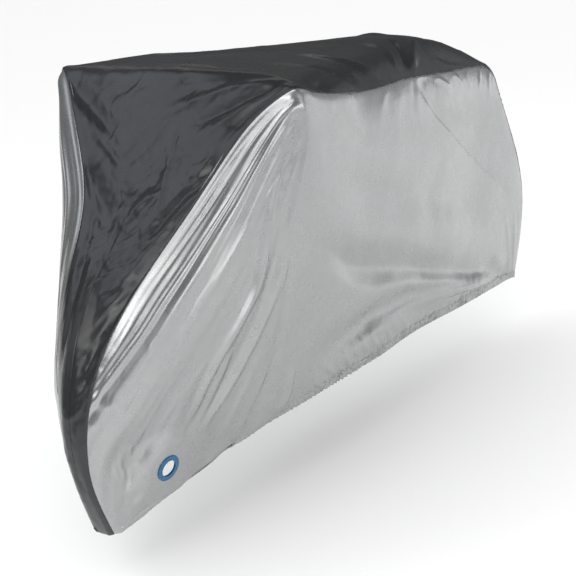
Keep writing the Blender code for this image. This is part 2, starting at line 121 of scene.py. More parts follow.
SWELLS = [
    # name                    u     across  reach_m  height_m
    ("right brow",            7.0,   1.25,  .150,    .012),
    ("right shin",            5.2,   1.15,  .150,    .003),
    ("right cheek",           3.3,   1.20,  .110,    .010),
    ("far top edge 1",       10.0,   0.85,  .110,    .009),
    ("far top edge 2",       11.3,   0.80,  .120,    .005),
    ("left top edge hollow", 10.7,  -1.00,  .100,   -.012),
    ("left lower hollow",     9.5,  -1.62,  .170,   -.012),
    ("right lower hollow",    9.3,   1.60,  .180,   -.014),
    ("left rear hollow",     14.5,  -1.45,  .150,   -.010),
    ("right rear hollow",    14.3,   1.45,  .150,   -.010),
    ("face middle hollow",    6.4,   0.00,  .140,   -.014),
    ("top hollow",           11.2,   0.05,  .130,   -.010),
]

# Folds. The path is places (section number, place across) along the crest. The widths are
# those of its two flanks where it starts, left and right of travel seen from outside; the
# height is that of the crest (a trough is negative); crest is how rounded it is; rise and
# die are the shares of its length over which it grows and fades; and taper is how wide it
# ends, as a share of how wide it starts.
FOLD_COLUMNS = ("name", "path", "w_left", "w_right", "height", "crest", "rise", "die", "taper")
LEFT_FOLDS = [
    # the fan from the front corner, along the seam
    ("fan line 4",    [(4.60, -1.395), (4.27, -1.407), (3.50, -1.400), (2.75, -1.395)],
     .006, .004,  .0012, .0006, .20, .40, 1.0),
    # long folds from the fan down to the hem
    ("long ridge 4",  [(7.30, -1.190), (6.36, -1.352), (5.58, -1.415), (4.37, -1.466), (3.50, -1.538), (2.85, -1.610)],
     .026, .022,  .0110, .0024, .35, .20, .55),
    ("long ridge 4b", [(5.30, -1.440), (4.47, -1.524), (3.58, -1.600), (3.00, -1.680)],
     .012, .011,  .0050, .0012, .30, .20, 1.0),
    ("long ridge 5",  [(7.50, -1.300), (6.62, -1.436), (5.84, -1.512), (4.60, -1.592), (3.64, -1.640), (2.95, -1.720)],
     .024, .020,  .0104, .0020, .35, .20, .60),
    ("long ridge 5b", [(5.60, -1.600), (4.79, -1.680), (3.85, -1.762), (3.35, -1.840)],
     .010, .014,  .0040, .0008, .35, .20, 1.0),
    ("long ridge 5c", [(5.70, -1.660), (4.93, -1.742), (3.99, -1.834), (3.60, -1.900)],
     .010, .012,  .0042, .0008, .35, .20, 1.0),
    ("long ridge 5d", [(6.10, -1.770), (5.36, -1.888), (4.70, -1.945)],
     .014, .022,  .0070, .0012, .40, .20, 1.0),
    ("upright crease", [(8.00, -1.180), (7.22, -1.370), (6.59, -1.560), (5.76, -1.720), (5.00, -1.860)],
     .010, .004,  .0015, .0006, .40, .15, 1.0),
    ("corner drop",   [(8.60, -1.010), (8.30, -1.120), (7.95, -1.300), (7.40, -1.560)],
     .040, .060,  .0012, .0100, .15, .50, 1.6),
    ("low crease 1",  [(1.30, -1.430), (1.01, -1.520), (0.84, -1.650)],
     .014, .010, -.0012, .0016, .20, .30, 1.0),
    ("low crease 2",  [(1.89, -1.590), (1.39, -1.650), (0.88, -1.630)],
     .014, .012,  .0012, .0016, .30, .30, 1.0),
    ("low star 1",    [(2.45, -1.300), (2.20, -1.360), (2.05, -1.460)],
     .006, .008,  .0020, .0006, .25, .30, 1.0),
    ("low star 2",    [(2.60, -1.380), (2.28, -1.385), (1.90, -1.350)],
     .008, .006,  .0018, .0006, .25, .30, 1.0),
    ("low star 3",    [(2.10, -1.270), (1.85, -1.330), (1.60, -1.440)],
     .009, .006,  .0018, .0006, .25, .30, 1.0),
    ("low hollow",    [(2.00, -1.420), (1.60, -1.560), (1.20, -1.700)],
     .034, .030, -.0020, .0100, .30, .30, 1.0),
    # the wide rear part
    ("peak crease",   [(12.26, -1.010), (12.46, -1.074), (12.93, -1.172), (13.58, -1.255), (14.38, -1.349), (15.16, -1.434), (16.22, -1.491), (17.54, -1.440)],
     .050, .007, -.0048, .0016, .06, .25, 1.0),
    ("peak crease 2", [(12.75, -1.040), (13.40, -1.180), (14.60, -1.330), (16.20, -1.430)],
     .045, .040,  .0020, .0120, .20, .30, 1.0),
    ("peak pucker 1", [(12.90, -1.008), (13.35, -1.050), (13.70, -1.085)],
     .012, .008,  .0034, .0008, .15, .45, .6),
    ("peak pucker 2", [(13.70, -1.006), (13.95, -1.045), (14.10, -1.095)],
     .010, .010,  .0032, .0008, .15, .45, .6),
    ("peak pucker 3", [(14.30, -1.006), (14.35, -1.050), (14.50, -1.110)],
     .012, .010,  .0030, .0008, .15, .45, .6),
    ("peak pucker 4", [(15.00, -1.006), (14.95, -1.055), (14.85, -1.120)],
     .010, .012,  .0028, .0008, .15, .45, .6),
    ("peak pucker 5", [(15.60, -1.006), (15.45, -1.060), (15.40, -1.160)],
     .010, .012,  .0026, .0010, .15, .45, .8),
    ("drop 1",        [(10.97, -1.008), (10.75, -1.100), (10.72, -1.190), (10.80, -1.320)],
     .030, .026,  .0005, .0060, .20, .60, 1.8),
    ("drop 2",        [(11.85, -1.006), (11.45, -1.130), (11.36, -1.240), (11.30, -1.400)],
     .024, .030,  .0016, .0050, .20, .60, 2.0),
    ("drop 3",        [(12.20, -1.006), (12.05, -1.100), (12.00, -1.200)],
     .016, .018, -.0014, .0030, .20, .60, 1.5),
    ("drop 4",        [(11.35, -1.006), (11.05, -1.080), (10.95, -1.150)],
     .014, .014,  .0010, .0020, .20, .60, 1.3),
    ("side swell 1",  [(8.20, -1.250), (9.60, -1.330), (11.60, -1.430), (14.00, -1.540), (16.00, -1.640)],
     .060, .070, -.0100, .0250, .35, .35, 1.0),
    ("side swell 2",  [(8.20, -1.400), (9.80, -1.480), (12.20, -1.580), (15.00, -1.700)],
     .055, .060,  .0080, .0240, .35, .30, .9),
    ("rear draw 9",   [(18.70, -1.945), (17.59, -1.945), (15.76, -1.904), (12.90, -1.782), (11.20, -1.690), (9.73, -1.634), (8.40, -1.540), (7.25, -1.455)],
     .022, .034, -.0140, .0060, .05, .25, 1.8),
    ("rear ridge 9",  [(18.70, -1.955), (17.20, -1.950), (15.20, -1.922), (13.20, -1.838), (11.20, -1.755), (9.60, -1.700)],
     .014, .016,  .0080, .0030, .08, .45, 2.0),
    ("rear draw 10",  [(18.40, -1.960), (15.81, -1.935), (14.59, -1.905), (13.01, -1.850), (11.58, -1.800)],
     .008, .008, -.0032, .0010, .08, .40, 1.8),
    ("rear high",     [(18.55, -1.935), (17.40, -1.905), (16.20, -1.850), (15.10, -1.790)],
     .010, .010,  .0030, .0012, .08, .50, 2.2),
    ("hem ridge 10",  [(17.00, -1.955), (15.04, -1.925), (14.22, -1.912), (13.07, -1.890), (11.96, -1.872), (10.85, -1.872), (9.69, -1.890)],
     .014, .018,  .0085, .0020, .20, .35, 1.6),
    ("hem trough 11", [(13.40, -1.870), (12.70, -1.862), (11.59, -1.845), (10.25, -1.835), (9.24, -1.850), (7.73, -1.865), (6.20, -1.850)],
     .034, .040, -.0135, .0100, .30, .30, .9),
    ("hem pucker 1",  [(8.60, -1.985), (8.45, -1.940), (8.20, -1.890)], .009, .012,  .0040, .0008, .10, .60, .5),
    ("hem pucker 2",  [(9.05, -1.985), (8.95, -1.935), (8.75, -1.880)], .010, .012,  .0044, .0008, .10, .60, .5),
    ("hem pucker 3",  [(7.85, -1.985), (7.70, -1.930), (7.45, -1.870)], .010, .014,  .0044, .0008, .10, .60, .5),
    ("hem pucker 4",  [(9.70, -1.985), (9.60, -1.935), (9.45, -1.890)], .010, .012,  .0040, .0008, .10, .60, .5),
    ("hem pucker 5",  [(7.10, -1.985), (6.95, -1.930), (6.75, -1.870)], .010, .012,  .0036, .0008, .10, .60, .5),
    ("hem pucker 6",  [(10.60, -1.985), (10.45, -1.945), (10.25, -1.905)], .010, .014,  .0034, .0008, .10, .60, .5),
    ("hem pucker 7",  [(6.45, -1.985), (6.30, -1.940), (6.10, -1.880)], .009, .012,  .0030, .0008, .10, .60, .5),
    ("hem pucker 8",  [(11.60, -1.985), (11.45, -1.950), (11.20, -1.915)], .010, .012,  .0030, .0008, .10, .60, .5),
    ("rear fan 1",    [(18.80, -1.930), (18.60, -1.820), (18.30, -1.640), (17.90, -1.420)],
     .010, .010,  .0028, .0010, .10, .50, 1.8),
    ("rear fan 2",    [(18.50, -1.940), (18.00, -1.840), (17.40, -1.700), (16.80, -1.560)],
     .010, .010,  .0024, .0010, .10, .50, 1.8),
]
# The fan of narrow folds that runs down from each front corner beside the seam: for a section
# number, how far across its lines lie (1 is the seam, 2 the hem). Low down its first lines
# have run out at the seam.
FAN_COLUMNS = ("section", "line 0", "line 1", "line 2", "line 2.6", "line 4", "line 5", "line 6")
FAN = [
    (8.60, 1.000, 1.008, 1.018, 1.032, 1.050, 1.070, 1.100),
    (8.00, 1.000, 1.042, 1.068, 1.105, 1.130, 1.185, 1.215),
    (7.50, 1.000, 1.066, 1.098, 1.155, 1.185, 1.300, 1.325),
    (7.00, 1.000, 1.078, 1.122, 1.195, 1.252, 1.378, 1.450),
    (6.50, 1.000, 1.085, 1.143, 1.217, 1.335, 1.447, 1.580),
    (6.00, 1.000, 1.088, 1.155, 1.222, 1.388, 1.498, 1.680),
    (5.00, 1.000, 1.095, 1.188, 1.240, 1.442, 1.570, 1.860),
    (4.00, 0.997, 1.089, 1.195, 1.252, 1.495, 1.622, 1.990),
    (3.50, 0.970, 1.062, 1.185, 1.249, 1.538, 1.652, 2.050),
    (3.00, 0.925, 1.014, 1.165, 1.238, 1.597, 1.712, 2.120),
    (2.00, 0.800, 0.890, 1.065, 1.192, 1.735, 1.860, 2.280),
    (1.00, 0.630, 0.720, 0.920, 1.120, 1.860, 1.990, 2.440),
    (0.00, 0.450, 0.540, 0.740, 1.020, 1.980, 2.110, 2.600),
]
FAN_LINES = (0, 1, 2, 2.6, 4, 5, 6)
# Its shape across: line number, slope (> 0 rises away from the seam)
FAN_SLOPES = [
    (0.00, -.02), (0.08,  .02), (0.15, -.02), (0.24,  .13), (0.29,  .15), (0.34,  .02),
    (0.42,  .00), (0.50,  .09), (0.57,  .07), (0.63, -.10), (0.72, -.12), (0.82, -.04),
    (0.89,  .18), (0.94,  .42), (1.01,  .40), (1.06, -.14), (1.12, -.30), (1.19, -.28),
    (1.28,  .06), (1.42,  .10), (1.58,  .09), (1.68, -.02), (1.80, -.16), (1.94, -.05),
    (2.06, -.08), (2.20,  .06), (2.40,  .10), (2.52, -.06), (2.65, -.06), (2.85,  .04),
    (3.00, -.03), (3.30, -.01), (3.55,  .05), (3.66,  .09), (3.80, -.06), (3.95, -.08),
    (4.10,  .06), (4.24,  .15), (4.42, -.08), (4.60,  .02), (4.78,  .15), (4.92, -.10),
    (5.05, -.05), (5.20,  .11), (5.38,  .02), (5.60, -.05), (5.80,  .08), (6.00, -.03),
    (6.30,  .00),
]
# How much more it rises right beside the seam: section number, slope
SEAM_LEAN = [(0, .30), (3, .30), (4, .26), (5, .14), (6, .03), (7, -.06), (8, -.08), (20, -.08)]
# and near line 2, close to the corner
LINE_2_LEAN = [(0, 0), (5.5, 0), (6, -.05), (6.5, -.12), (7, -.20), (7.5, -.25), (8, -.28), (20, -.28)]
# and how strong it is along them: section number, share
FAN_SHARE = [(0, .40), (1, .70), (2, .95), (3, 1.0), (6.8, 1.0), (7.5, .9), (8.0, .55), (8.35, .1), (8.5, 0), (20, 0)]
STRIP_FOLDS = [
    # the front face
    ("face left crease",   [(8.20, 0.97), (7.75, 0.93), (7.41, 0.78), (7.05, 0.55), (6.75, 0.30)],
     .030, .018, -.0052, .0026, .15, .40, .9),
    ("face left crease 2", [(7.05, 0.80), (6.90, 0.70), (6.72, 0.55), (6.50, 0.36)],
     .014, .012, -.0034, .0010, .25, .30, 1.0),
    ("face v left",        [(6.60, 1.00), (6.11, 0.78), (5.88, 0.46), (5.66, 0.12)],
     .024, .016,  .0046, .0030, .25, .30, 1.0),
    ("face v right",       [(6.30, -.42), (6.04, -.21), (5.78, -.12), (5.64, 0.06)],
     .012, .026,  .0040, .0030, .30, .30, 1.0),
    ("face v stem",        [(6.30, 0.10), (6.00, 0.09), (5.66, 0.07), (5.20, 0.06)],
     .014, .014,  .0026, .0024, .40, .40, 1.0),
    ("face ridge r",       [(6.85, -.29), (6.30, -.42), (5.87, -.50)],
     .016, .014,  .0036, .0010, .30, .20, 1.0),
    ("face short crease",  [(6.70, -.975), (6.52, -.83), (6.39, -.64)],
     .008, .010, -.0032, .0008, .08, .45, 1.0),
    ("corner draw 1",      [(9.07, -.86), (8.40, -.84), (8.02, -.81), (7.68, -.70), (7.44, -.55), (7.25, -.32)],
     .012, .014, -.0055, .0010, .10, .40, 1.5),
    ("corner draw 2",      [(8.90, -.84), (8.50, -.72), (8.07, -.51), (7.72, -.29), (7.45, .10)],
     .012, .012,  .0040, .0010, .12, .40, 1.6),
    ("corner draw 3",      [(8.75, -.93), (8.10, -.88), (7.60, -.80), (7.10, -.60)],
     .010, .012,  .0036, .0010, .12, .40, 1.5),
    ("corner draw 4",      [(8.60, -.95), (7.90, -.93), (7.30, -.90), (6.80, -.78)],
     .010, .010, -.0036, .0012, .12, .40, 1.5),
    ("corner draw 5",      [(8.95, -.80), (8.70, -.56), (8.42, -.20), (8.20, .20)],
     .012, .012, -.0030, .0012, .12, .50, 1.8),
    ("seam trough",        [(7.30, -.95), (6.53, -.94), (6.22, -.81), (5.80, -.72), (5.10, -.66)],
     .018, .020, -.0050, .0030, .30, .35, 1.0),
    ("seam ridge",         [(6.10, -.90), (5.50, -.82), (4.90, -.78), (4.30, -.72)],
     .012, .014,  .0034, .0010, .30, .30, 1.0),
    ("shin ridge 1",       [(4.50, -.985), (4.15, -.90), (3.86, -.70), (3.50, -.30)],
     .008, .010,  .0034, .0008, .08, .45, 1.4),
    ("shin ridge 2",       [(4.20, -.985), (3.86, -.93), (3.60, -.75), (3.30, -.35)],
     .008, .008,  .0032, .0008, .08, .45, 1.4),
    ("shin ridge 3",       [(3.85, -.985), (3.60, -.90), (3.35, -.60), (3.10, -.10)],
     .008, .008,  .0028, .0008, .08, .45, 1.4),
    ("shin ridge 4",       [(3.45, -.985), (3.20, -.85), (3.00, -.40), (2.85, .10)],
     .007, .008,  .0026, .0008, .08, .45, 1.4),
    ("shin ridge 5",       [(3.10, -.985), (2.85, -.70), (2.65, -.10), (2.50, .40)],
     .007, .008,  .0024, .0008, .08, .45, 1.4),
    ("shin ridge 6",       [(4.90, -.985), (4.65, -.90), (4.40, -.70), (4.00, -.40)],
     .008, .010,  .0026, .0008, .08, .45, 1.4),
    ("shin long",          [(5.30, .10), (4.60, .00), (3.80, -.05), (3.00, .00)],
     .014, .016,  .0040, .0016, .35, .35, 1.0),
    ("shin far",           [(5.60, .80), (4.80, .60), (4.00, .50), (3.20, .50)],
     .014, .012, -.0036, .0014, .30, .35, 1.0),
    # the top
    ("brow ridge",         [(8.55, .55), (8.58, .20), (8.63, -.21), (9.00, -.66), (9.27, -.87)],
     .020, .030,  .0060, .0024, .25, .20, 1.0),
    ("corner hollow",      [(9.40, -.98), (9.75, -.90), (10.20, -.80), (10.80, -.72)],
     .016, .020, -.0060, .0024, .15, .45, 1.3),
    ("peak fold",          [(13.20, -.31), (12.90, -.52), (12.56, -.73), (12.24, -.96)],
     .018, .013,  .0085, .0030, .22, .30, 1.0),
    ("peak fold 2",        [(12.11, -.20), (12.04, -.58), (11.92, -.76), (11.79, -.95)],
     .014, .014,  .0060, .0024, .22, .30, 1.0),
    ("peak trough",        [(12.66, -.30), (12.40, -.62), (12.10, -.95)],
     .014, .012, -.0065, .0024, .20, .30, 1.0),
    ("peak fold 3",        [(13.00, -.10), (12.95, .30), (12.90, .70)],
     .020, .020,  .0040, .0020, .35, .35, 1.0),
    ("top line 1",         [(9.60, .60), (10.60, .30), (11.60, .05), (12.60, -.05)],
     .020, .030,  .0055, .0030, .30, .30, 1.0),
    ("top line 3",         [(11.30, -.95), (11.00, -.70), (10.80, -.35), (10.90, .10)],
     .016, .022,  .0050, .0024, .15, .40, 1.3),
    ("top line 4",         [(10.80, -.95), (10.40, -.72), (10.00, -.50), (9.60, -.40)],
     .014, .020, -.0046, .0024, .15, .40, 1.3),
    ("rear line 1",        [(13.60, -.10), (14.40, -.40), (15.40, -.60)],
     .014, .014,  .0024, .0012, .30, .35, 1.0),
    ("rear line 2",        [(13.30, -.70), (13.80, -.82), (14.60, -.90)],
     .010, .012, -.0022, .0012, .20, .35, 1.0),
]


def mirrored(rows, seed=3):
    """The far side's folds: a loose counterpart of the near side's, each a little moved."""
    out = []
    for k, (name, path, wl, wr, height, crest, rise, die, taper) in enumerate(rows):
        a = math.sin(k * 2.7 + seed) * .16
        b = math.sin(k * 1.9 + seed * 2) * .10
        moved = [(min(max(u + a, .1), 19.5), 1 + (abs(c) - 1) * (1 + b * (abs(c) < 1.8)))
                 for u, c in path]
        scale = 1 + .25 * math.sin(k * 3.3 + seed)
        out.append(("far " + name, moved, wr, wl, height * scale, crest, rise, die, taper))
    return out


RIGHT_FOLDS = mirrored(LEFT_FOLDS)

# How closely the rows lie: more where the folds are sharp
DENSE_ALONG = [(0, 1.3), (3, 1.2), (9, 1.15), (10, 1.0), (16, 1.0), (17, .9), (20, .9)]


# ---------------------------------------------------------------- the taut form
COL = {c: np.array([row[i] for row in SECTIONS], float)
       for i, c in enumerate(SECTION_COLUMNS) if i}


def middle_y(x, z):
    t = np.asarray(x) - (TURN_AXIS_X - (np.asarray(z) - ROUND_R) * 0.2)
    return TURN_OF_FRONT * 0.5 * (t + np.sqrt(t * t + 0.03 ** 2))


def unit(v):
    return v / np.linalg.norm(v)


def read(u, column):
    y = COL[column]
    i = min(int(u), len(y) - 2)
    f = u - i
    y0, y1, y2, y3 = y[max(i - 1, 0)], y[i], y[i + 1], y[min(i + 2, len(y) - 1)]
    return y1 + .5 * f * (y2 - y0 + f * (2 * y0 - 5 * y1 + 4 * y2 - y3
                                         + f * (3 * (y1 - y2) + y3 - y0)))


def trimmed(u, column):
    return read(u, column) + sum(amount * math.exp(-((u - at) / reach) ** 2)
                                 for side, at, reach, amount in TRIMS if side == column)


def ball(x, y, z, r, n=8):
    return [(x + r * math.sin(math.pi * i / n) * math.cos(math.pi * j / n),
             y + r * math.sin(math.pi * i / n) * math.sin(math.pi * j / n),
             z + r * math.cos(math.pi * i / n))
            for i in range(n + 1) for j in range(2 * n)]


def round_end(cx, cz, radius, half, a0, a1, turn, n=40, tread=.012):
    out = []
    for i in range(n + 1):
        a = math.radians(a0 + (a1 - a0) * i / n)
        for rr, w in ((radius, -half * .55), (radius, half * .55),
                      (radius - tread, -half), (radius - tread, half)):
            s = rr * math.cos(a)
            out.append((cx + s * math.cos(turn) - w * math.sin(turn),
                        s * math.sin(turn) + w * math.cos(turn), cz + rr * math.sin(a)))
    return out


def taut_form():
    points = []
    for _, x, y, z, r in CARRIED_AT:
        points += ball(x, y, z, r)
    for _, cx, cz, radius, half, a0, a1, turn in ROUND_ENDS:
        points += round_end(cx, cz, radius, half, a0, a1, turn)
    for row in SECTIONS:
        x, w, z = row[6:9]
        m = float(middle_y(x, z))
        points += [(x, m + w, z), (x, m - w, z)]
    bm = bmesh.new()
    verts = [bm.verts.new(p) for p in points]
    bmesh.ops.convex_hull(bm, input=verts)
    bm.normal_update()
    inside = np.mean(points, axis=0)
    normals, offsets = [], []
    for f in bm.faces:
        if f.calc_area() < 1e-9:
            continue
        n, p = np.array(f.normal, float), np.array(f.verts[0].co, float)
        c = float(n @ p)
        if n @ inside > c:
            n, c = -n, -c
        normals.append(n)
        offsets.append(c)
    bm.free()
    return np.array(normals), np.array(offsets)


def leave(form, inside, directions):
    normals, offsets = form
    slope, room = directions @ normals.T, offsets - normals @ inside
    with np.errstate(divide="ignore", invalid="ignore"):
        t = np.where(slope > 1e-9, room / slope, np.inf)
    return t.min(1)


def along(points):
    return np.concatenate([[0], np.cumsum(np.linalg.norm(np.diff(points, axis=0), axis=1))])


def spaced(points, s, q):
    return np.stack([np.interp(q, s, points[:, k]) for k in range(3)], -1)


BASE_ALONG, BASE_PANEL, BASE_STRIP = 60, 20, 8


def base_cloth():
    form, rows = taut_form(), []
    for u in np.linspace(0, LAST, BASE_ALONG + 1):
        x, z, turn = read(u, "x"), read(u, "z"), math.radians(read(u, "turn"))
        out = np.array([math.cos(turn), 0, math.sin(turn)])
        inside = np.array([x, 0, z]) - .16 * out
        inside[1] = float(middle_y(inside[0], inside[2]))
        out = unit(np.array([x, float(middle_y(x, z)), z]) - inside)
        halves = []
        for side, half in ((1, trimmed(u, "left")), (-1, trimmed(u, "right"))):
            t = np.linspace(0, math.radians(100), 240)[:, None]
            rays = np.cos(t) * out + np.sin(t) * np.array([0, side, 0])
            arc = inside + leave(form, inside, rays)[:, None] * rays
            strip = spaced(arc, along(arc), np.linspace(0, half, BASE_STRIP + 1))
            seam = strip[-1]
            hx, hw, hz = read(u, "hem_x"), read(u, "hem_w"), read(u, "hem_z")
            hem = np.array([hx, float(middle_y(hx, hz)) + side * hw, hz])
            mx, mz = (seam[0] + hem[0]) / 2, (seam[2] + hem[2]) / 2
            mid = np.array([mx, float(middle_y(mx, mz)), mz])
            a, b = unit(seam - mid), unit(hem - mid)
            whole, t = math.acos(np.clip(a @ b, -1, 1)), np.linspace(0, 1, 160)[:, None]
            rays = (np.sin((1 - t) * whole) * a + np.sin(t * whole) * b) / math.sin(whole)
            arc = mid + leave(form, mid, rays)[:, None] * rays
            arc[0], arc[-1] = seam, hem
            s = along(arc)
            halves.append((strip, spaced(arc, s, np.linspace(0, s[-1], BASE_PANEL + 1))))
        (sl, pl), (sr, pr) = halves
        rows.append(np.concatenate([pl[::-1], sl[::-1][1:], sr[1:], pr[1:]]))
    grid = np.array(rows)
    ease = np.full(grid.shape[:2], .5)
    for q in HELD_POINTS:
        ease *= 1 - .85 * np.exp(-((grid - np.array(q)) ** 2).sum(-1) / .06 ** 2)
    for _ in range(4):
        new = grid.copy()
        new[1:-1, 1:-1] = (grid[:-2, 1:-1] + grid[2:, 1:-1] + grid[1:-1, :-2] + grid[1:-1, 2:]) / 4
        for e in (0, -1):
            new[1:-1, e] = (grid[:-2, e] + grid[2:, e]) / 2
        grid = grid + ease[..., None] * (new - grid)
    return grid


def across_to_column(a):
    return np.interp(np.asarray(a, float), [-2, -1, 0, 1, 2],
                     [0, BASE_PANEL, BASE_PANEL + BASE_STRIP, BASE_PANEL + 2 * BASE_STRIP,
                      2 * BASE_PANEL + 2 * BASE_STRIP])


def hermite(p0, p1, p2, p3, f):
    return p1 + .5 * f * (p2 - p0 + f * (2 * p0 - 5 * p1 + 4 * p2 - p3
                                         + f * (3 * (p1 - p2) + p3 - p0)))


def hermite_table(table, x):
    """A smooth curve through a short table of places and values."""
    px, py = (np.array(c, float) for c in zip(*table))
    slope = np.gradient(py, px)
    k = np.clip(np.searchsorted(px, x) - 1, 0, len(px) - 2)
    h = px[k + 1] - px[k]
    t = np.clip((x - px[k]) / h, 0, 1)
    return ((1 + 2 * t) * (1 - t) ** 2 * py[k] + t * (1 - t) ** 2 * h * slope[k]
            + t * t * (3 - 2 * t) * py[k + 1] + t * t * (t - 1) * h * slope[k + 1])


def rows_at(grid, us):
    """The base cloth's rows at section numbers us."""
    i = np.asarray(us, float) * BASE_ALONG / LAST
    k = np.clip(np.floor(i).astype(int), 0, len(grid) - 2)
    f = (i - k)[:, None, None]
    return hermite(*[grid[np.clip(k + d, 0, len(grid) - 1)] for d in (-1, 0, 1, 2)], f)


def columns_at(rows, across):
    """Each row read at its own places across (an array, rows by columns)."""
    j = across_to_column(across)
    n = rows.shape[1]
    k = np.clip(np.floor(j).astype(int), 0, n - 2)
    f = (j - k)[..., None]
    r = np.arange(len(rows))[:, None]
    return hermite(*[rows[r, np.clip(k + d, 0, n - 1)] for d in (-1, 0, 1, 2)], f)


def path_on(base, us, across):
    """Points of the base cloth at pairs of section number and place across."""
    rows = rows_at(base, us)
    return columns_at(rows, np.asarray(across, float)[:, None])[:, 0]


def normals_of(grid):
    du, dv = np.gradient(grid, axis=0), np.gradient(grid, axis=1)
    n = np.cross(du, dv)
    return n / np.maximum(np.linalg.norm(n, axis=-1, keepdims=True), 1e-12)


def smooth(x):
    x = np.clip(x, 0, 1)
    return x * x * (3 - 2 * x)


# ---------------------------------------------------------------- noise
def value_noise(x, y, z=0.0, seed=0):
    """Smooth noise between -1 and 1 that depends only on its arguments."""
    x, y, z = np.broadcast_arrays(*(np.asarray(c, float) for c in (x, y, z)))
    ix, iy, iz = (np.floor(c).astype(np.int64) for c in (x, y, z))
    fx, fy, fz = x - ix, y - iy, z - iz
    fx, fy, fz = (c * c * c * (c * (c * 6 - 15) + 10) for c in (fx, fy, fz))

    def corner(a, b, c):
        h = ((ix + a) * 374761393 + (iy + b) * 668265263 + (iz + c) * 1442695041 + seed * 974634777)
        h &= 0xffffffff
        h = ((h ^ (h >> 13)) * 1274126177) & 0xffffffff
        h = ((h ^ (h >> 16)) * 2246822519) & 0xffffffff
        return ((h ^ (h >> 13)) & 0xffff) / 32767.5 - 1

    out = 0.0
    for a in (0, 1):
        for b in (0, 1):
            for c in (0, 1):
                w = (fx if a else 1 - fx) * (fy if b else 1 - fy) * (fz if c else 1 - fz)
                out = out + w * corner(a, b, c)
    return out


def creased_noise(x, y, z=0.0, seed=0, octaves=3):
    """Noise with sharp ridges, like crumpled thin cloth, about 0 to 1."""
    total, weight, size = 0.0, 0.0, 1.0
    for k in range(octaves):
        n = 1 - np.abs(value_noise(x * size, y * size, z * size, seed + 17 * k)) * 1.6
        total = total + np.clip(n, 0, 1) ** 2 / size
        weight += 1 / size
        size *= 2.1
    return total / weight


# ---------------------------------------------------------------- folds
def fold_line(path, n=16):
    """Points along a fold's crest: a smooth curve through its places."""
    q = np.array(path, float)
    q = np.concatenate([[2 * q[0] - q[1]], q, [2 * q[-1] - q[-2]]])
    t = np.linspace(0, 1, n, endpoint=False)[:, None]
    parts = [hermite(q[k], q[k + 1], q[k + 2], q[k + 3], t) for k in range(len(q) - 3)]
    out = np.concatenate(parts + [q[-2:-1]])
    return path_on(BASE, np.clip(out[:, 0], 0, LAST), np.clip(out[:, 1], -2, 2))


def fold_height(p, n, line, w_left, w_right, height, crest, rise, die, taper=1.0, seed=0, wander=.0012):
    """Height of one fold with its crest on line, at points p whose normals are n."""
    reach = 1.9 * max(w_left, w_right) * max(1, taper) + .004
    low, high = line.min(0) - reach, line.max(0) + reach
    take = np.nonzero(((p > low) & (p < high)).all(1))[0]
    if not len(take):
        return take, np.zeros(0)
    q, qn = p[take], n[take]
    run = along(line)
    best, where, side = np.full(len(q), 1e9), np.zeros(len(q)), np.zeros(len(q))
    for k in range(len(line) - 1):
        a, d = line[k], line[k + 1] - line[k]
        t = np.clip(((q - a) @ d) / (d @ d), 0, 1)
        off = q - a - t[:, None] * d
        dist = (off * off).sum(1)
        nearer = dist < best
        best = np.where(nearer, dist, best)
        where = np.where(nearer, (run[k] + t * (run[k + 1] - run[k])) / run[-1], where)
        side = np.where(nearer, -(np.cross(qn, off) * d).sum(1), side)      # > 0: left of travel
    x = np.sqrt(best) * np.where(side > 0, -1.0, 1.0)
    near = np.abs(x) < reach
    take, x, where = take[near], x[near], where[near]
    length = run[-1]
    x = x + wander * value_noise(where * length / .06, seed * .37, 0, seed)
    width = np.where(x < 0, w_left, w_right) * (1 + (taper - 1) * where)
    width = width * (1 + .22 * value_noise(where * length / .09, 3.1, 0, seed + 5))
    y = 1 - (np.sqrt(x * x + crest * crest) - crest) / width
    shape = .5 * (y + np.sqrt(y * y + .03))
    shape *= smooth((y + .8) / .8)
    ends = smooth(where / max(rise, .01)) * smooth((1 - where) / max(die, .01))
    lift = 1 + .25 * value_noise(where * length / .12, 1.7, 0, seed + 9)
    return take, height * shape * ends * lift


def all_folds(p, n, rows, seed=0):
    shape = p.shape[:2]
    p, n = p.reshape(-1, 3), n.reshape(-1, 3)
    out = np.zeros(len(p))
    for row in rows:
        name, path = row[:2]
        take, h = fold_height(p, n, fold_line(path), *row[2:], seed=seed + sum(map(ord, name)))
        out[take] += h
    return out.reshape(shape)


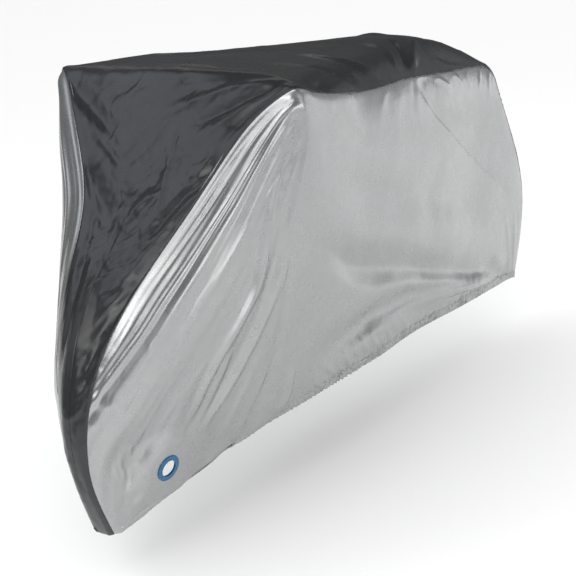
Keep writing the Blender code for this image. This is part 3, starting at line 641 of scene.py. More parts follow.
def small_creases(p, n, us, across, seed, count, where, lengths_mm, height, width, heading, spread):
    """Many short sharp creases of crumpled thin cloth. where is u0, u1, a0, a1; heading is
    the direction they tend to run, as (section numbers, places across)."""
    r = np.random.RandomState(seed)
    shape = p.shape[:2]
    fp, fn = p.reshape(-1, 3), n.reshape(-1, 3)
    out = np.zeros(len(fp))
    u0, u1, a0, a1 = where
    for k in range(count):
        u, a = r.uniform(u0, u1), r.uniform(a0, a1)
        length = r.uniform(*lengths_mm) * .001
        c = path_on(BASE, [u], [a])[0]
        du = path_on(BASE, [min(u + .1, LAST)], [a])[0] - path_on(BASE, [max(u - .1, 0)], [a])[0]
        da = path_on(BASE, [u], [min(a + .02, 2)])[0] - path_on(BASE, [u], [max(a - .02, -2)])[0]
        eu, ea = unit(du), unit(da)
        h = unit(heading[0] * eu + heading[1] * ea)
        s = unit(np.cross(np.cross(eu, ea), h))
        t = r.normal(0, spread)
        d = math.cos(t) * h + math.sin(t) * s
        bend = r.uniform(-.12, .12) * length
        m = np.cross(np.cross(eu, ea), d)
        line = np.stack([c - d * length / 2, c - d * length / 4 + m * bend * .7, c + m * bend,
                         c + d * length / 4 + m * bend * .7, c + d * length / 2])
        w = r.uniform(*width) * .001
        take, hh = fold_height(fp, fn, line, w * r.uniform(.6, 1.4), w * r.uniform(.6, 1.4),
                               r.choice([-1, 1]) * r.uniform(*height) * .001, .0006, .35, .35,
                               1.0, seed + k, .0004)
        out[take] += hh
    return out.reshape(shape)


# ---------------------------------------------------------------- sheets
BASE = base_cloth()


def rows_along(count, dense=DENSE_ALONG):
    fine = np.linspace(0, LAST, 2401)
    path = path_on(BASE, fine, np.full(len(fine), -1.0))
    step = np.linalg.norm(np.diff(path, axis=0), axis=1)
    mid = (fine[1:] + fine[:-1]) / 2
    step = step * np.interp(mid, [d[0] for d in dense], [d[1] for d in dense])
    s = np.concatenate([[0], np.cumsum(step)])
    return np.interp(np.linspace(0, s[-1], count), s, fine)


def lengths(rows, a0, a1, n=60):
    a = np.tile(np.linspace(a0, a1, n), (len(rows), 1))
    p = columns_at(rows, a)
    return np.linalg.norm(np.diff(p, axis=1), axis=2).sum(1)


def banded(length, first, last, n_first, n_mid, n_last, extra=None):
    """Distances across, closer together near both edges: rows by columns. extra gives, for
    each row, how much denser the columns are within reach of the last edge."""
    first, last = np.minimum(first, .35 * length), np.minimum(last, .3 * length)
    a = np.linspace(0, 1, n_first, endpoint=False)[None] * first[:, None]
    t = np.linspace(0, 1, n_mid, endpoint=False)
    middle = []
    for k in range(len(length)):
        span = length[k] - first[k] - last[k]
        if extra is None:
            middle.append(first[k] + t * span)
            continue
        more, reach = extra[k]
        x = np.linspace(0, span, 200)
        c = np.concatenate([[0], np.cumsum(1 + more * np.exp(-((span - x[1:]) / reach) ** 2))])
        middle.append(first[k] + np.interp(t * c[-1], c, x))
    c = (length - last)[:, None] + np.linspace(0, 1, n_last)[None] * last[:, None]
    return np.concatenate([a, np.array(middle), c], 1)


def softened(h, times=1):
    """Takes out what is too fine for the rows and columns to show."""
    for _ in range(times):
        h = h.copy()
        h[1:-1] = (h[:-2] + 2 * h[1:-1] + h[2:]) / 4
        h[:, 1:-1] = (h[:, :-2] + 2 * h[:, 1:-1] + h[:, 2:]) / 4
    return h


def seam_line(us, a):
    """Distance along a seam or hem, for gathers that both its sides share."""
    return along(path_on(BASE, us, np.full(len(us), float(a))))


def gathers(s, pitch, seed):
    """A row of uneven gathers along s."""
    warp = s / pitch + .9 * value_noise(s / (pitch * 4.1), seed + .5, 0, seed)
    g = np.sin(2 * math.pi * warp) * (.62 + .38 * value_noise(s / (pitch * 2.3), 4.2, 0, seed + 3))
    return g + .35 * np.sin(2 * math.pi * warp * 1.93 + 1.1)


def shaped(p, us, across, side):
    """Adds the swells and folds to the points p of one piece. side is -1, 0 or 1."""
    n = normals_of(p)
    height = np.zeros(p.shape[:2])
    for _, u, a, reach, h in SWELLS:
        d = np.linalg.norm(p - path_on(BASE, [u], [a])[0], axis=-1)
        height += h * np.exp(-(d / reach) ** 2) * (np.abs(across - a) < 1.2)
    tips = np.clip(np.minimum(us, LAST - us) / .8, .2, 1)[:, None]
    if side:
        edge = np.clip((2 - np.abs(across)) / .12, .25, 1)
        seam = None
    p = p + (height * tips * (edge if side else 1))[..., None] * n
    flat = columns_at(rows_at(BASE, us), across)
    base_n = normals_of(flat)
    rows = {0: STRIP_FOLDS, -1: LEFT_FOLDS, 1: RIGHT_FOLDS}[side]
    fine = all_folds(flat, base_n, rows)
    return p, n, fine, flat, base_n


def fan_height(us, from_seam, length, seed, share):
    """Height of the fan of folds beside a front corner's seam, from the slopes across it."""
    at = np.arange(-.6, 6.5, .02)
    lines = np.stack([hermite_table([(row[0], row[k]) for row in FAN[::-1]], us)
                      for k in range(1, len(FAN_COLUMNS))], 1)
    slopes = np.interp(at, *zip(*FAN_SLOPES))
    strong = share * np.interp(us, *zip(*FAN_SHARE))
    out = np.zeros(from_seam.shape)
    for k in range(len(us)):
        if not strong[k]:
            continue
        u = us[k]
        n = at + .045 * value_noise(u * .9, at * .8, 0, seed)
        a = np.interp(n, FAN_LINES, lines[k])
        a = a + np.minimum(n, 0) * (lines[k][1] - lines[k][0])
        s = (a - 1) * length[k]
        low = smooth((4.6 - u) / 1.6)
        near = 1 / (1 + np.maximum(at - 1.2, 0) * (.45 - .40 * low))
        fine = (.20 * value_noise(at * 5.2, u * .50, 0, seed + 1) + .17 * value_noise(at * 11.0, u * .6, 0, seed + 2)
                + .06 * value_noise(at * 2.3, u * .35, 0, seed + 3))
        lean = np.interp(u, *zip(*SEAM_LEAN)) * (1 - smooth((at - .22) / .12))
        lean = lean + np.interp(u, *zip(*LINE_2_LEAN)) * (smooth((at - 1.55) / .2) * smooth((2.6 - at) / .3)
                                                          + .8 * smooth((at - 1.0) / .1) * smooth((1.3 - at) / .1))
        slope = lean + slopes * (1 + .60 * smooth((at - 1.4) / .4)) * (1 + .30 * value_noise(at * 1.7, u * .8, 0, seed + 4)) + fine * near * (1 + .6 * low) * (1 - .7 * smooth((2.1 - u) / .9))
        h = np.concatenate([[0], np.cumsum((slope[1:] + slope[:-1]) / 2 * np.diff(s))])
        h -= np.interp(0, at, h)
        h -= h[-1] * smooth(np.maximum(s, 0) / s[-1])
        held = np.exp(-from_seam[k] / .030)
        out[k] = strong[k] * (np.interp(from_seam[k], s, h) - held * np.interp(0, s, h))
    return out


def build_panel(side, n_rows, n_first, n_mid, n_last):
    """One side panel: from the turned-up hem to the edge under the strip."""
    us = rows_along(n_rows)
    rows = rows_at(BASE, us)
    length = lengths(rows, 2 * side, side)
    fan = smooth((us - 1.5) / 1.5) * smooth((9.0 - us) / 1.2)
    d = banded(length, .036, .022, n_first, n_mid, n_last,      # from the hem
               [(1.9 * f, .15) for f in fan])
    across = side * (2 - d / length[:, None])
    if side > 0:
        d, across = d[:, ::-1], across[:, ::-1]
    from_seam = length[:, None] - d
    p = columns_at(rows, across)
    p, n, fine, flat, base_n = shaped(p, us, across, side)
    s_hem, s_seam = seam_line(us, 2 * side)[:, None], seam_line(us, side)[:, None]
    seed = 11 if side < 0 else 57
    fine *= smooth(from_seam / .010) * (.30 + .70 * smooth(d / .05))
    fine += fan_height(us, from_seam, length, seed, 1.0 if side < 0 else .8)
    # crumples of thin coated cloth, larger low down and near the corners
    x, y, z = flat[..., 0], flat[..., 1], flat[..., 2]
    low = smooth((.42 - z) / .25) * smooth((x - .9) / .35)
    crumple = creased_noise(x * 20 + 2 * value_noise(x * 9, z * 9, 0, seed), z * 20, y * 8, seed, 1) - .42
    fine += crumple * (.0001 + .0006 * low) * smooth(from_seam / .02)
    for count, place, long, high, wide, heading, spread in (
            (70, (1.0, 5.5, 1.05, 1.95), (25, 80), (.25, .8), (4, 10), (-1, .35), .35),
            (46, (1.6, 3.2, 1.15, 1.85), (15, 45), (.25, .8), (4, 9), (-1, .5), .8),
            (30, (5.0, 8.0, 1.10, 1.90), (40, 110), (.10, .35), (6, 14), (-1, .6), .25),
            (30, (9.0, 19.0, 1.10, 1.80), (60, 160), (.05, .20), (12, 28), (1, .25), .4),
            (30, (12.3, 16.0, 1.02, 1.10), (12, 40), (.3, .9), (4, 9), (.5, 1), .5),
            (26, (9.0, 19.0, 1.85, 1.96), (20, 70), (.3, 1.0), (5, 10), (1, -.1), .3)):
        u0, u1, a0, a1 = place
        span = (u0, u1, -a1, -a0) if side < 0 else (u0, u1, a0, a1)
        fine += small_creases(flat, base_n, us, across, seed + count, count, span, long, high,
                              wide, (heading[0], heading[1] * side), spread)
    broad = value_noise(x * 5.5, z * 6.5, 0, seed + 2) + .5 * value_noise(x * 12, z * 13, 0, seed + 4)
    fine += .0010 * broad * smooth(from_seam / .05) * smooth(d / .08)
    fine = softened(fine)
    # puckers along the seam
    top = smooth((us - 8.5) / 2.0)[:, None] * smooth((17.5 - us) / 2.0)[:, None]
    puck = gathers(s_seam, .013, seed + 20)
    fine += puck * (.00025 + .0005 * top) * np.exp(-from_seam / (.010 + .008 * top)) * (1 - .9 * smooth((.003 - from_seam) / .003))
    # elastic gathers along the hem: strongest in the middle of its length
    mid = np.exp(-((us - 7.6) / 3.2) ** 2)[:, None]
    rear = np.exp(-((us - 14.0) / 2.4) ** 2)[:, None]
    amount = .0005 + .0017 * mid + .0009 * rear
    g = gathers(s_hem, .0105, seed + 30) + .5 * gathers(s_hem + .7 * d, .021, seed + 31)
    fine += g * amount * np.exp(-np.maximum(d - HEM, 0) / (.010 + .012 * mid))
    # the seam at the top of the hem
    fine -= .0010 * np.exp(-((d - HEM) / .0022) ** 2)
    fine += .0006 * smooth((HEM - d) / .004) * smooth(d / .003)
    p = p + fine[..., None] * n
    return us, p, n, d, from_seam, across, length


def eyelet_place(node):
    """Centre of the hole, outward axis and one direction across, from the solid ring."""
    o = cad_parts[node]
    v = np.array([(o.matrix_world @ q.co)[:] for q in o.data.vertices])
    low, high = v.min(0), v.max(0)
    c = (low + high) / 2
    for _ in range(3):
        w, axes = np.linalg.eigh(np.cov((v - c).T))
        n = axes[:, 0]
    if n[1] * (1 if "left" in node else -1) < 0:
        n = -n
    h = (v - c) @ n
    c = c + n * (h.max() + h.min()) / 2
    t = unit(np.cross(n, np.array([0, 0, 1.0])))
    return c, n, t, float(h.max() - h.min())


def add_mesh(name, verts, faces, smooth_faces=True):
    mesh = bpy.data.meshes.new(name)
    verts = np.asarray(verts, np.float32)
    mesh.from_pydata(verts.tolist(), [], faces if isinstance(faces, list) else faces.tolist())
    mesh.update()
    if smooth_faces:
        mesh.shade_smooth()
    obj = bpy.data.objects.new(name, mesh)
    bpy.context.scene.collection.objects.link(obj)
    return obj


def set_points(mesh, name, values):
    a = mesh.attributes.new(name, "FLOAT", "POINT")
    a.data.foreach_set("value", np.asarray(values, np.float32).ravel())


def uv_from(mesh, uv):
    """A UV map in metres along and across the cloth."""
    layer = mesh.uv_layers.new(name="cloth")
    idx = np.empty(len(mesh.loops), np.int32)
    mesh.loops.foreach_get("vertex_index", idx)
    layer.data.foreach_set("uv", np.asarray(uv, np.float32).reshape(-1, 2)[idx].ravel())


def quads(r, c):
    i, j = np.meshgrid(np.arange(r - 1), np.arange(c - 1), indexing="ij")
    a = (i * c + j).ravel()
    return np.stack([a, a + c, a + c + 1, a + 1], 1)


SHIFT = np.array(ORIGIN)


def make_panel(side, name, node_names, n_rows, n_first, n_mid, n_last):
    us, p, n, d, from_seam, across, length = build_panel(side, n_rows, n_first, n_mid, n_last)
    p = p - SHIFT
    n = normals_of(p)
    hem_first = side < 0                    # hem at column 0 on the left, at the end on the right
    order = slice(None) if hem_first else slice(None, None, -1)
    q, m, dd = p[:, order], n[:, order], d[:, order]
    s = seam_line(us, 2 * side)
    # at the seam the panel goes under the strip
    seam_t = q[:, -1] - q[:, -2]
    seam_t /= np.maximum(np.linalg.norm(seam_t, axis=1, keepdims=True), 1e-9)
    strip_rows = rows_at(BASE, us)
    half = np.array([trimmed(u, "left" if side < 0 else "right") for u in us])
    lap = []
    for reach in (.0025, .005, LAP):
        a = side * (1 - np.minimum(reach, .4 * half) / half)
        r, _, _, _, _ = strip_at(us, a[:, None])
        lap.append(r[:, 0] - SHIFT)
    lap_n = normals_of(np.stack(lap, 1)) if len(lap) > 1 else None
    sign = np.sign((lap_n[:, 0] * m[:, -1]).sum(1, keepdims=True))
    lap = [l - sign * lap_n[:, k] * .0014 for k, l in enumerate(lap)]
    q = q.copy()
    q[:, -1] -= m[:, -1] * .0004
    # the hem: rolled edge and inner layer, 1.2 mm inside
    inner_d = [HEM * .96, HEM * .7, HEM * .45, HEM * .2, .0012]
    inner = []
    for x in inner_d:
        idx = np.array([np.interp(x, dd[k], np.arange(dd.shape[1])) for k in range(len(us))])
        k0 = np.clip(idx.astype(int), 0, dd.shape[1] - 2)
        f = (idx - k0)[:, None]
        r = np.arange(len(us))
        inner.append((1 - f) * q[r, k0] + f * q[r, k0 + 1] - .0012 * ((1 - f) * m[r, k0] + f * m[r, k0 + 1]))
    down = q[:, 0] - q[:, 1]
    down /= np.maximum(np.linalg.norm(down, axis=1, keepdims=True), 1e-9)
    roll = [q[:, 0] + .0004 * down - .0009 * m[:, 0], q[:, 0] + .0006 * down - .0003 * m[:, 0]]
    grid = np.concatenate([np.stack(inner + roll, 1), q, np.stack(lap, 1)], 1)
    pad = len(inner) + len(roll)
    dist = np.concatenate([-np.tile(np.array(inner_d + [0, 0]), (len(us), 1)), dd,
                           dd[:, -1:] + np.array([[.0025, .005, LAP]])], 1)
    seam_d = dd[:, -1:] - dist
    if not hem_first:
        grid, dist, seam_d = grid[:, ::-1], dist[:, ::-1], seam_d[:, ::-1]
    r, c = grid.shape[:2]
    verts, faces = grid.reshape(-1, 3), quads(r, c)
    # the opening for the eyelet
    ring = "eyelet_left" if side < 0 else "eyelet_right"
    centre, axis, t, _ = eyelet_place(ring)
    b = np.cross(axis, t)
    off = verts - centre
    radial = np.stack([off @ t, off @ b], 1)
    rad, h = np.linalg.norm(radial, axis=1), off @ axis
    near = (rad < .14) & (np.abs(h) < .06)
    flatten = np.where(near, 1 - smooth((rad - .040) / .055), 0)
    fade = smooth(np.abs(seam_d.ravel()) / .035) * (dist.ravel() > .002)
    verts = verts - (flatten * fade * h)[:, None] * axis * .94
    verts = verts - (np.where(rad < .036, flatten * h * .06, 0))[:, None] * axis
    outer = .040
    grow = np.where(near & (rad < outer), .0195 + rad * (outer - .0195) / outer, rad)
    scale = np.where(rad > 1e-6, grow / np.maximum(rad, 1e-6), 1)
    verts = verts + ((scale - 1)[:, None] * radial) @ np.stack([t, b])
    gone = near & (rad < .0045)
    faces = faces[~gone[faces].any(1)]
    used = np.unique(faces)
    renum = np.full(len(verts), -1)
    renum[used] = np.arange(len(used))
    obj = add_mesh(name, verts[used], renum[faces])
    along_s = np.repeat(s[:, None], c, 1)
    uv_from(obj.data, np.stack([along_s, dist], -1).reshape(-1, 2)[used])
    set_points(obj.data, "from_hem", dist.ravel()[used])
    set_points(obj.data, "from_seam", seam_d.ravel()[used])
    set_points(obj.data, "section", np.repeat(us[:, None], c, 1).ravel()[used])
    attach(obj, "root")
    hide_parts(*node_names)
    return obj, us, q, m, dd


def strip_at(us, across):
    """The middle strip's surface at each row's own places across."""
    rows = rows_at(BASE, us)
    p = columns_at(rows, across)
    return shaped_strip(p, us, across)


def shaped_strip(p, us, across):
    if across.shape[1] == 1:
        near = np.concatenate([across - .01, across, across + .01], 1)
        wide = columns_at(rows_at(BASE, us), near)
        out, n, fine, flat, base_n = shaped(wide, us, near, 0)
        return out[:, 1:2], n[:, 1:2], fine[:, 1:2], flat[:, 1:2], base_n[:, 1:2]
    return shaped(p, us, across, 0)


def make_strip(name, n_rows, n_edge, n_mid):
    us = rows_along(n_rows, [(0, 1.3), (3, 1.2), (10, 1.2), (11, 1.0), (14, 1.0), (20, .8)])
    left = np.array([trimmed(u, "left") for u in us])
    right = np.array([trimmed(u, "right") for u in us])
    whole = left + right
    d = banded(whole, .024, .024, n_edge, n_mid, n_edge + 1)    # from the left seam
    x = d - left[:, None]                                       # from the middle, + to the right
    across = np.where(x < 0, x / left[:, None], x / right[:, None])
    rows = rows_at(BASE, us)
    p = columns_at(rows, across)
    p, n, fine, flat, base_n = shaped_strip(p, us, across)
    from_l, from_r = d, whole[:, None] - d
    from_edge = np.minimum(from_l, from_r)
    fine *= smooth(from_edge / .010)
    fx, fy, fz = flat[..., 0], flat[..., 1], flat[..., 2]
    face = smooth((8.6 - us) / 1.2)[:, None]
    crumple = creased_noise(fx * 13 + 1.5 * value_noise(fy * 9, fz * 9, 0, 3), fy * 15, fz * 13, 5, 2) - .42
    fine += crumple * (.0004 + .0008 * face) * smooth(from_edge / .03)
    fine += .0016 * value_noise(fx * 7, fy * 8, fz * 7, 8) * smooth(from_edge / .05)
    for count, place, long, high, wide, heading, spread in (
            (80, (4.6, 8.4, -.92, .92), (50, 150), (.5, 1.3), (4, 9), (-1, .9), .22),
            (90, (5.0, 8.3, -.85, .85), (15, 70), (.3, .9), (3, 8), (.2, 1), .55),
            (40, (4.8, 7.6, -.90, .90), (40, 120), (.4, 1.1), (4, 10), (-1, -.7), .25),
            (40, (1.0, 4.5, -.92, .92), (20, 70), (.3, 1.0), (5, 10), (1, -.2), .5),
            (40, (8.0, 9.6, -.90, .90), (30, 110), (.3, 1.0), (7, 18), (.2, 1), .5),
            (60, (9.4, 16.0, -.90, .90), (30, 120), (.3, .9), (8, 20), (1, .2), .8)):
        fine += small_creases(flat, base_n, us, across, 200 + count, count, place, long, high, wide,
                              heading, spread) * smooth(from_edge / .012)
    for dist, a, seed in ((from_l, -1, 31), (from_r, 1, 77)):
        s = seam_line(us, a)[:, None]
        top = smooth((us - 8.5) / 2.0)[:, None] * smooth((17.5 - us) / 2.0)[:, None]
        fine += gathers(s, .011, seed) * (.0004 + .0008 * top) * np.exp(-dist / .010)
        fine += LIFT * (1 - smooth((dist - .004) / .02))
        fine -= .0006 * np.exp(-((dist - .0065) / .0016) ** 2)
    p = p + fine[..., None] * n - SHIFT
    n = normals_of(p)
    # turned-under edges
    def edge(first, inward, nn):
        e, i = p[:, first], inward
        tdir = e - i
        tdir /= np.maximum(np.linalg.norm(tdir, axis=1, keepdims=True), 1e-9)
        m = nn[:, first]
        under = -tdir
        return [e + .0004 * tdir - .0003 * m, e + .0003 * tdir - .0007 * m, e + .0016 * under - .0009 * m,
                e + .0045 * under - .0009 * m]
    lo = edge(0, p[:, 1], n)
    hi = edge(-1, p[:, -2], n)
    grid = np.concatenate([np.stack(lo[::-1], 1), p, np.stack(hi, 1)], 1)
    dist = np.concatenate([np.tile([-.0045, -.0016, -.0003, -.0002], (len(us), 1)), from_edge,
                           np.tile([-.0002, -.0003, -.0016, -.0045], (len(us), 1))], 1)
    # turned-under ends at the two tips
    r, c = grid.shape[:2]
    def tip(row, nxt, m):
        tdir = row - nxt
        tdir /= np.maximum(np.linalg.norm(tdir, axis=1, keepdims=True), 1e-9)
        return [row + .0005 * tdir - .0004 * m, row - .003 * tdir - .0011 * m, row - .012 * tdir - .0012 * m]
    gn = normals_of(grid)
    a, b = tip(grid[0], grid[1], gn[0]), tip(grid[-1], grid[-2], gn[-1])
    grid = np.concatenate([np.stack(a[::-1]), grid, np.stack(b)], 0)
    dist = np.concatenate([np.repeat(dist[:1], 3, 0), dist, np.repeat(dist[-1:], 3, 0)], 0)
    r, c = grid.shape[:2]
    obj = add_mesh(name, grid.reshape(-1, 3), quads(r, c))
    s = seam_line(us, 0)
    s = np.concatenate([[s[0]] * 3, s, [s[-1]] * 3])
    w = np.concatenate([x[:, :1].repeat(4, 1), x, x[:, -1:].repeat(4, 1)], 1)
    w = np.concatenate([np.repeat(w[:1], 3, 0), w, np.repeat(w[-1:], 3, 0)], 0)
    uv_from(obj.data, np.stack([np.repeat(s[:, None], c, 1), w], -1))
    set_points(obj.data, "from_seam", dist)
    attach(obj, "root")
    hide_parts("middle_strip")
    return obj, us, p, n, from_l, from_r


# ---------------------------------------------------------------- eyelets
def make_eyelet(name, node, material):
    centre, axis, t, depth = eyelet_place(node)
    b = np.cross(axis, t)
    z1 = depth / 2
    out, hole = EYELET_OUTER, EYELET_HOLE
    # front flange: rounded outside, a shallow dish, and a rolled rim round the hole
    prof = []
    def arc(cx, cz, r, a0, a1, n):
        for k in range(n + 1):
            a = math.radians(a0 + (a1 - a0) * k / n)
            prof.append((cx + r * math.cos(a), cz + r * math.sin(a)))
    arc(out - .0012, z1 - .0016, .0012, -90, 60, 7)
    prof.append((out - .0022, z1 - .0004))
    prof.append((out - .0040, z1 - .0006))
    prof.append((hole + .0042, z1 - .0006))
    prof.append((hole + .0030, z1 - .0003))
    arc(hole + .0014, z1 - .0010, .0014, 75, 180, 8)
    prof.append((hole + .0001, 0))
    arc(hole + .0012, -z1 + .0010, .0012, 180, 285, 6)
    prof.append((out - .0040, -z1 + .0002))
    arc(out - .0030, -z1 + .0010, .0008, 270, 360, 4)
    prof.append((out - .0024, -z1 + .00165))
    prof.append((hole + .0032, -z1 + .00175))
    prof.append((hole + .0032, z1 - .0030))
    prof.append((out - .0024, z1 - .0029))
    n = 96
    verts, faces = [], []
    for k in range(n):
        a = 2 * math.pi * k / n
        d = math.cos(a) * t + math.sin(a) * b
        for r, z in prof:
            verts.append(centre + r * d + z * axis)
    m = len(prof)
    for k in range(n):
        for j in range(m):
            faces.append((k * m + j, ((k + 1) % n) * m + j, ((k + 1) % n) * m + (j + 1) % m, k * m + (j + 1) % m))
    obj = add_mesh(name, verts, faces)
    bm = bmesh.new()
    bm.from_mesh(obj.data)
    bmesh.ops.recalc_face_normals(bm, faces=bm.faces)
    bm.to_mesh(obj.data)
    bm.free()
    obj.data.set_sharp_from_angle(angle=math.radians(50))
    obj.data.materials.append(material)
    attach(obj, "root")
    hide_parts(node)
    return obj


# ---------------------------------------------------------------- materials
def nodes_for(name):
    m = bpy.data.materials.new(name)
    m.use_nodes = True
    nt = m.node_tree
    nt.nodes.clear()
    out = nt.nodes.new("ShaderNodeOutputMaterial")
    bsdf = nt.nodes.new("ShaderNodeBsdfPrincipled")
    nt.links.new(bsdf.outputs[0], out.inputs[0])
    return m, nt, bsdf


def add(nt, kind, **values):
    n = nt.nodes.new(kind)
    for k, v in values.items():
        if k.startswith("_"):
            n.inputs[k[1:].replace("_", " ")].default_value = v
        else:
            setattr(n, k, v)
    return n


def mapped(nt, source, scale):
    mp = add(nt, "ShaderNodeMapping")
    mp.inputs["Scale"].default_value = scale
    nt.links.new(source, mp.inputs["Vector"])
    return mp.outputs[0]


def ramp(nt, source, stops):
    r = add(nt, "ShaderNodeValToRGB")
    el = r.color_ramp.elements
    while len(el) < len(stops):
        el.new(.5)
    for e, (pos, col) in zip(el, stops):
        e.position = pos
        e.color = (*col, 1) if len(col) == 3 else col
    nt.links.new(source, r.inputs[0])
    return r


def math_node(nt, op, a, b=None, clamp=False):
    n = add(nt, "ShaderNodeMath", operation=op, use_clamp=clamp)
    for i, x in enumerate((a, b)):
        if x is None:
            continue
        if isinstance(x, (int, float)):
            n.inputs[i].default_value = x
        else:
            nt.links.new(x, n.inputs[i])
    return n.outputs[0]


def cloth_material(name, dark, light, rough, metallic, crinkle, sheen, specular=.5, foil=False):
    """Coated cloth: colour in soft patches, its small unevenness in the bump."""
    m, nt, bsdf = nodes_for(name)
    coords = add(nt, "ShaderNodeTexCoord").outputs["Object"]
    patch = add(nt, "ShaderNodeTexNoise", _Scale=3.4, _Detail=5.0, _Roughness=.55)
    nt.links.new(coords, patch.inputs["Vector"])
    colour = ramp(nt, patch.outputs["Fac"], [(.32, dark), (.68, light)])
    fine = add(nt, "ShaderNodeTexNoise", _Scale=60.0, _Detail=1.0)
    nt.links.new(coords, fine.inputs["Vector"])
    grain = ramp(nt, fine.outputs["Fac"], [(.3, (.965, .965, .965)), (.7, (1.0, 1.0, 1.0))])
    mix = add(nt, "ShaderNodeMix", data_type="RGBA", blend_type="MULTIPLY")
    mix.inputs["Factor"].default_value = 1.0
    nt.links.new(colour.outputs[0], mix.inputs["A"])
    nt.links.new(grain.outputs[0], mix.inputs["B"])
    nt.links.new(mix.outputs["Result"], bsdf.inputs["Base Color"])
    bsdf.inputs["Metallic"].default_value = metallic
    bsdf.inputs["Specular IOR Level"].default_value = specular
    bsdf.inputs["Sheen Weight"].default_value = sheen
    bsdf.inputs["Sheen Roughness"].default_value = .4
    rr = add(nt, "ShaderNodeTexNoise", _Scale=14.0, _Detail=4.0, _Roughness=.6)
    nt.links.new(coords, rr.inputs["Vector"])
    rough_out = ramp(nt, rr.outputs["Fac"], [(.3, (rough - .05,) * 3), (.7, (rough + .06,) * 3)])
    nt.links.new(rough_out.outputs[0], bsdf.inputs["Roughness"])
    # soft unevenness of a stiff thin coating, at a few sizes
    last = None
    for scale, detail, strength, dist in crinkle:
        v = add(nt, "ShaderNodeTexNoise", _Scale=scale, _Detail=detail, _Roughness=.5)
        nt.links.new(coords, v.inputs["Vector"])
        bump = add(nt, "ShaderNodeBump", _Strength=strength, _Distance=dist)
        nt.links.new(v.outputs["Fac"], bump.inputs["Height"])
        if last is not None:
            nt.links.new(last, bump.inputs["Normal"])
        last = bump.outputs[0]
    if foil:
        # crushed foil look of the gathered hem: small cells, only within the hem
        def reach(name, low, high, up=True):
            r = add(nt, "ShaderNodeMapRange", interpolation_type="SMOOTHSTEP")
            nt.links.new(add(nt, "ShaderNodeAttribute", attribute_name=name).outputs["Fac"], r.inputs["Value"])
            r.inputs["From Min"].default_value, r.inputs["From Max"].default_value = low, high
            r.inputs["To Min"].default_value, r.inputs["To Max"].default_value = (0, 1) if up else (1, 0)
            return r.outputs[0]
        band = math_node(nt, "MULTIPLY", reach("from_hem", .022, .034, False), reach("section", 4.5, 6.5))
        cells = add(nt, "ShaderNodeTexVoronoi", feature="F1", _Scale=105.0)
        nt.links.new(coords, cells.inputs["Vector"])
        bump = add(nt, "ShaderNodeBump", _Distance=.0045)
        nt.links.new(math_node(nt, "MULTIPLY", band, .5), bump.inputs["Strength"])
        nt.links.new(cells.outputs["Distance"], bump.inputs["Height"])
        nt.links.new(last, bump.inputs["Normal"])
        last = bump.outputs[0]
    nt.links.new(last, bsdf.inputs["Normal"])
    return m


SILVER = cloth_material("silver_cloth", (.385, .39, .395), (.41, .415, .415), .27, .85,
                        [(9, 1.0, .10, .004), (30, 1.0, .06, .0012)], 0.0, foil=True)
BLACK = cloth_material("black_cloth", (.013, .0135, .0145), (.020, .021, .0235), .29, .0,
                       [(16, 1.0, .28, .004), (50, 1.0, .42, .0014)], .0, .56)


def plastic_material(name):
    m, nt, bsdf = nodes_for(name)
    coords = add(nt, "ShaderNodeTexCoord").outputs["Object"]
    n1 = add(nt, "ShaderNodeTexNoise", _Scale=120.0, _Detail=4.0)
    nt.links.new(coords, n1.inputs["Vector"])
    col = ramp(nt, n1.outputs["Fac"], [(.3, (.003, .070, .165)), (.7, (.005, .095, .215))])
    nt.links.new(col.outputs[0], bsdf.inputs["Base Color"])
    rr = ramp(nt, n1.outputs["Fac"], [(.3, (.20,) * 3), (.7, (.30,) * 3)])
    nt.links.new(rr.outputs[0], bsdf.inputs["Roughness"])
    n2 = add(nt, "ShaderNodeTexNoise", _Scale=1500.0, _Detail=2.0)
    nt.links.new(coords, n2.inputs["Vector"])
    bump = add(nt, "ShaderNodeBump", _Strength=.08, _Distance=.0002)
    nt.links.new(n2.outputs["Fac"], bump.inputs["Height"])
    nt.links.new(bump.outputs[0], bsdf.inputs["Normal"])
    bsdf.inputs["Coat Weight"].default_value = .10
    bsdf.inputs["Coat Roughness"].default_value = .12
    return m


BLUE = plastic_material("blue_plastic")


# ---------------------------------------------------------------- the cover
left, l_us, l_p, l_n, l_d = make_panel(-1, "left_side_panel", ("side_panel_left", "eyelet_strip_left"),
                                       500, 16, 150, 10)
right, r_us, r_p, r_n, r_d = make_panel(1, "right_side_panel", ("side_panel_right", "eyelet_strip_right"),
                                        380, 14, 110, 8)
strip, s_us, s_p, s_n, s_l, s_r = make_strip("black_middle_strip", 520, 9, 96)
left.data.materials.append(SILVER)
right.data.materials.append(SILVER)
strip.data.materials.append(BLACK)
make_eyelet("eyelet_ring_left", "eyelet_left", BLUE)
make_eyelet("eyelet_ring_right", "eyelet_right", BLUE)

# ---------------------------------------------------------------- stage, lights, camera
def area_light(name, at, aim, size, power, colour=(1, 1, 1)):
    data = bpy.data.lights.new(name, "AREA")
    data.shape = "RECTANGLE"
    data.size, data.size_y = size
    data.energy = power
    data.color = colour
    o = bpy.data.objects.new(name, data)
    o.location = at
    o.rotation_euler = (Vector(aim) - Vector(at)).to_track_quat("-Z", "Y").to_euler()
    bpy.context.scene.collection.objects.link(o)
    return o


GROUND = -ORIGIN[2]
floor = add_mesh("floor", [(-9, -9, GROUND), (1.6, -9, GROUND), (1.6, 1.12, GROUND), (-.9, 1.12, GROUND),
                           (-3.2, 2.9, GROUND), (-9, 2.9, GROUND)], [(0, 1, 2, 3, 4, 5)])
fm, fnt, fb = nodes_for("floor")
fb.inputs["Base Color"].default_value = (.86, .86, .86, 1)
fb.inputs["Roughness"].default_value = .9
fb.inputs["Specular IOR Level"].default_value = .1
floor.data.materials.append(fm)

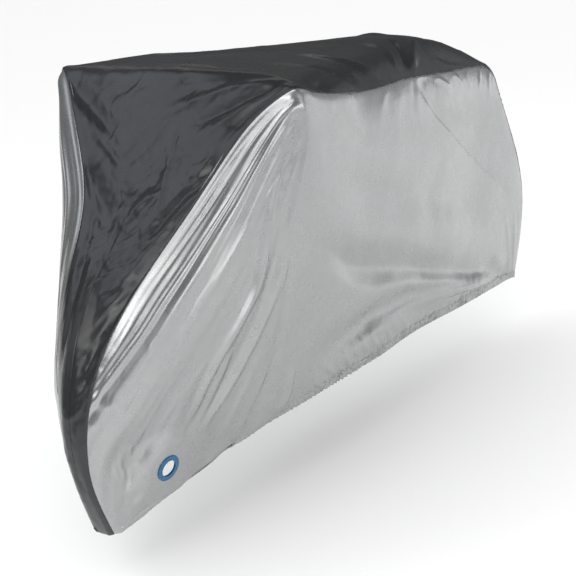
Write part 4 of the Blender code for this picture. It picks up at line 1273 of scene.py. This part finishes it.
area_light("key", (2.3, .55, 1.7), (.1, .1, -.1), (1.6, 1.6), 15)
area_light("front", (2.2, -2.3, .9), (.3, 0, -.2), (2.4, 1.8), 6.5)
area_light("side", (-2.4, 3.0, .55), (-.3, .2, -.3), (3.0, 1.5), 6)
area_light("back", (-1.6, -1.7, 1.3), (-.3, 0, -.05), (2.2, .35), 2.0, (1.0, .96, .92))
area_light("rear left", (-3.2, 1.0, .15), (-.3, .2, -.3), (2.6, 1.8), 3.6, (.93, .97, 1.0))
area_light("front left", (2.43, .96, .76), (.2, .15, -.3), (1.3, 1.0), 8.5)
area_light("low left", (-.10, 1.80, -.78), (.2, .25, -.35), (1.5, .42), 4.4)
area_light("near", (2.76, 2.46, .98), (.25, .2, -.25), (1.9, .9), 15)
area_light("high front", (1.25, -1.8, 2.0), (.3, 0, -.2), (2.0, 1.6), 11.5, (.86, .94, 1.0))

world = bpy.data.worlds.new("studio")
bpy.context.scene.world = world
world.use_nodes = True
wn = world.node_tree
bg = wn.nodes["Background"]
bg.inputs["Color"].default_value = (1, 1, 1, 1)
bg.inputs["Strength"].default_value = 1.12
dim = wn.nodes.new("ShaderNodeBackground")
dim.inputs["Color"].default_value = (.95, .98, 1.0, 1)
# the room, seen in the shiny cloth: pale low down, darker above
direction = wn.nodes.new("ShaderNodeSeparateXYZ")
wn.links.new(wn.nodes.new("ShaderNodeTexCoord").outputs["Generated"], direction.inputs[0])
fall = wn.nodes.new("ShaderNodeMapRange")
fall.interpolation_type = "SMOOTHSTEP"
fall.inputs["From Min"].default_value, fall.inputs["From Max"].default_value = -.34, -.02
fall.inputs["To Min"].default_value, fall.inputs["To Max"].default_value = .52, .10
wn.links.new(direction.outputs[2], fall.inputs["Value"])
wn.links.new(fall.outputs[0], dim.inputs["Strength"])
path = wn.nodes.new("ShaderNodeLightPath")
blend = wn.nodes.new("ShaderNodeMixShader")
wn.links.new(path.outputs["Is Glossy Ray"], blend.inputs[0])
wn.links.new(bg.outputs[0], blend.inputs[1])
wn.links.new(dim.outputs[0], blend.inputs[2])
wn.links.new(blend.outputs[0], wn.nodes["World Output"].inputs[0])

cam = bpy.data.cameras.new("camera")
cam.lens, cam.sensor_width, cam.sensor_fit = 100.0, 36.0, "HORIZONTAL"
cam.clip_end = 200
camera = bpy.data.objects.new("camera", cam)
YAW, PITCH, ROLL = -2.4656, .32456, -.0810
fwd = Vector((math.cos(PITCH) * math.cos(YAW), math.cos(PITCH) * math.sin(YAW), -math.sin(PITCH)))
rgt = Vector((math.sin(YAW), -math.cos(YAW), 0))
up = rgt.cross(fwd)
r2 = math.cos(ROLL) * rgt + math.sin(ROLL) * up
u2 = -math.sin(ROLL) * rgt + math.cos(ROLL) * up
rot = Matrix((r2, u2, -fwd)).transposed()
camera.matrix_world = Matrix.Translation((2.2978, 2.0561, .5681)) @ rot.to_4x4()
bpy.context.scene.collection.objects.link(camera)
bpy.context.scene.camera = camera
bpy.context.scene.view_settings.view_transform = "Standard"
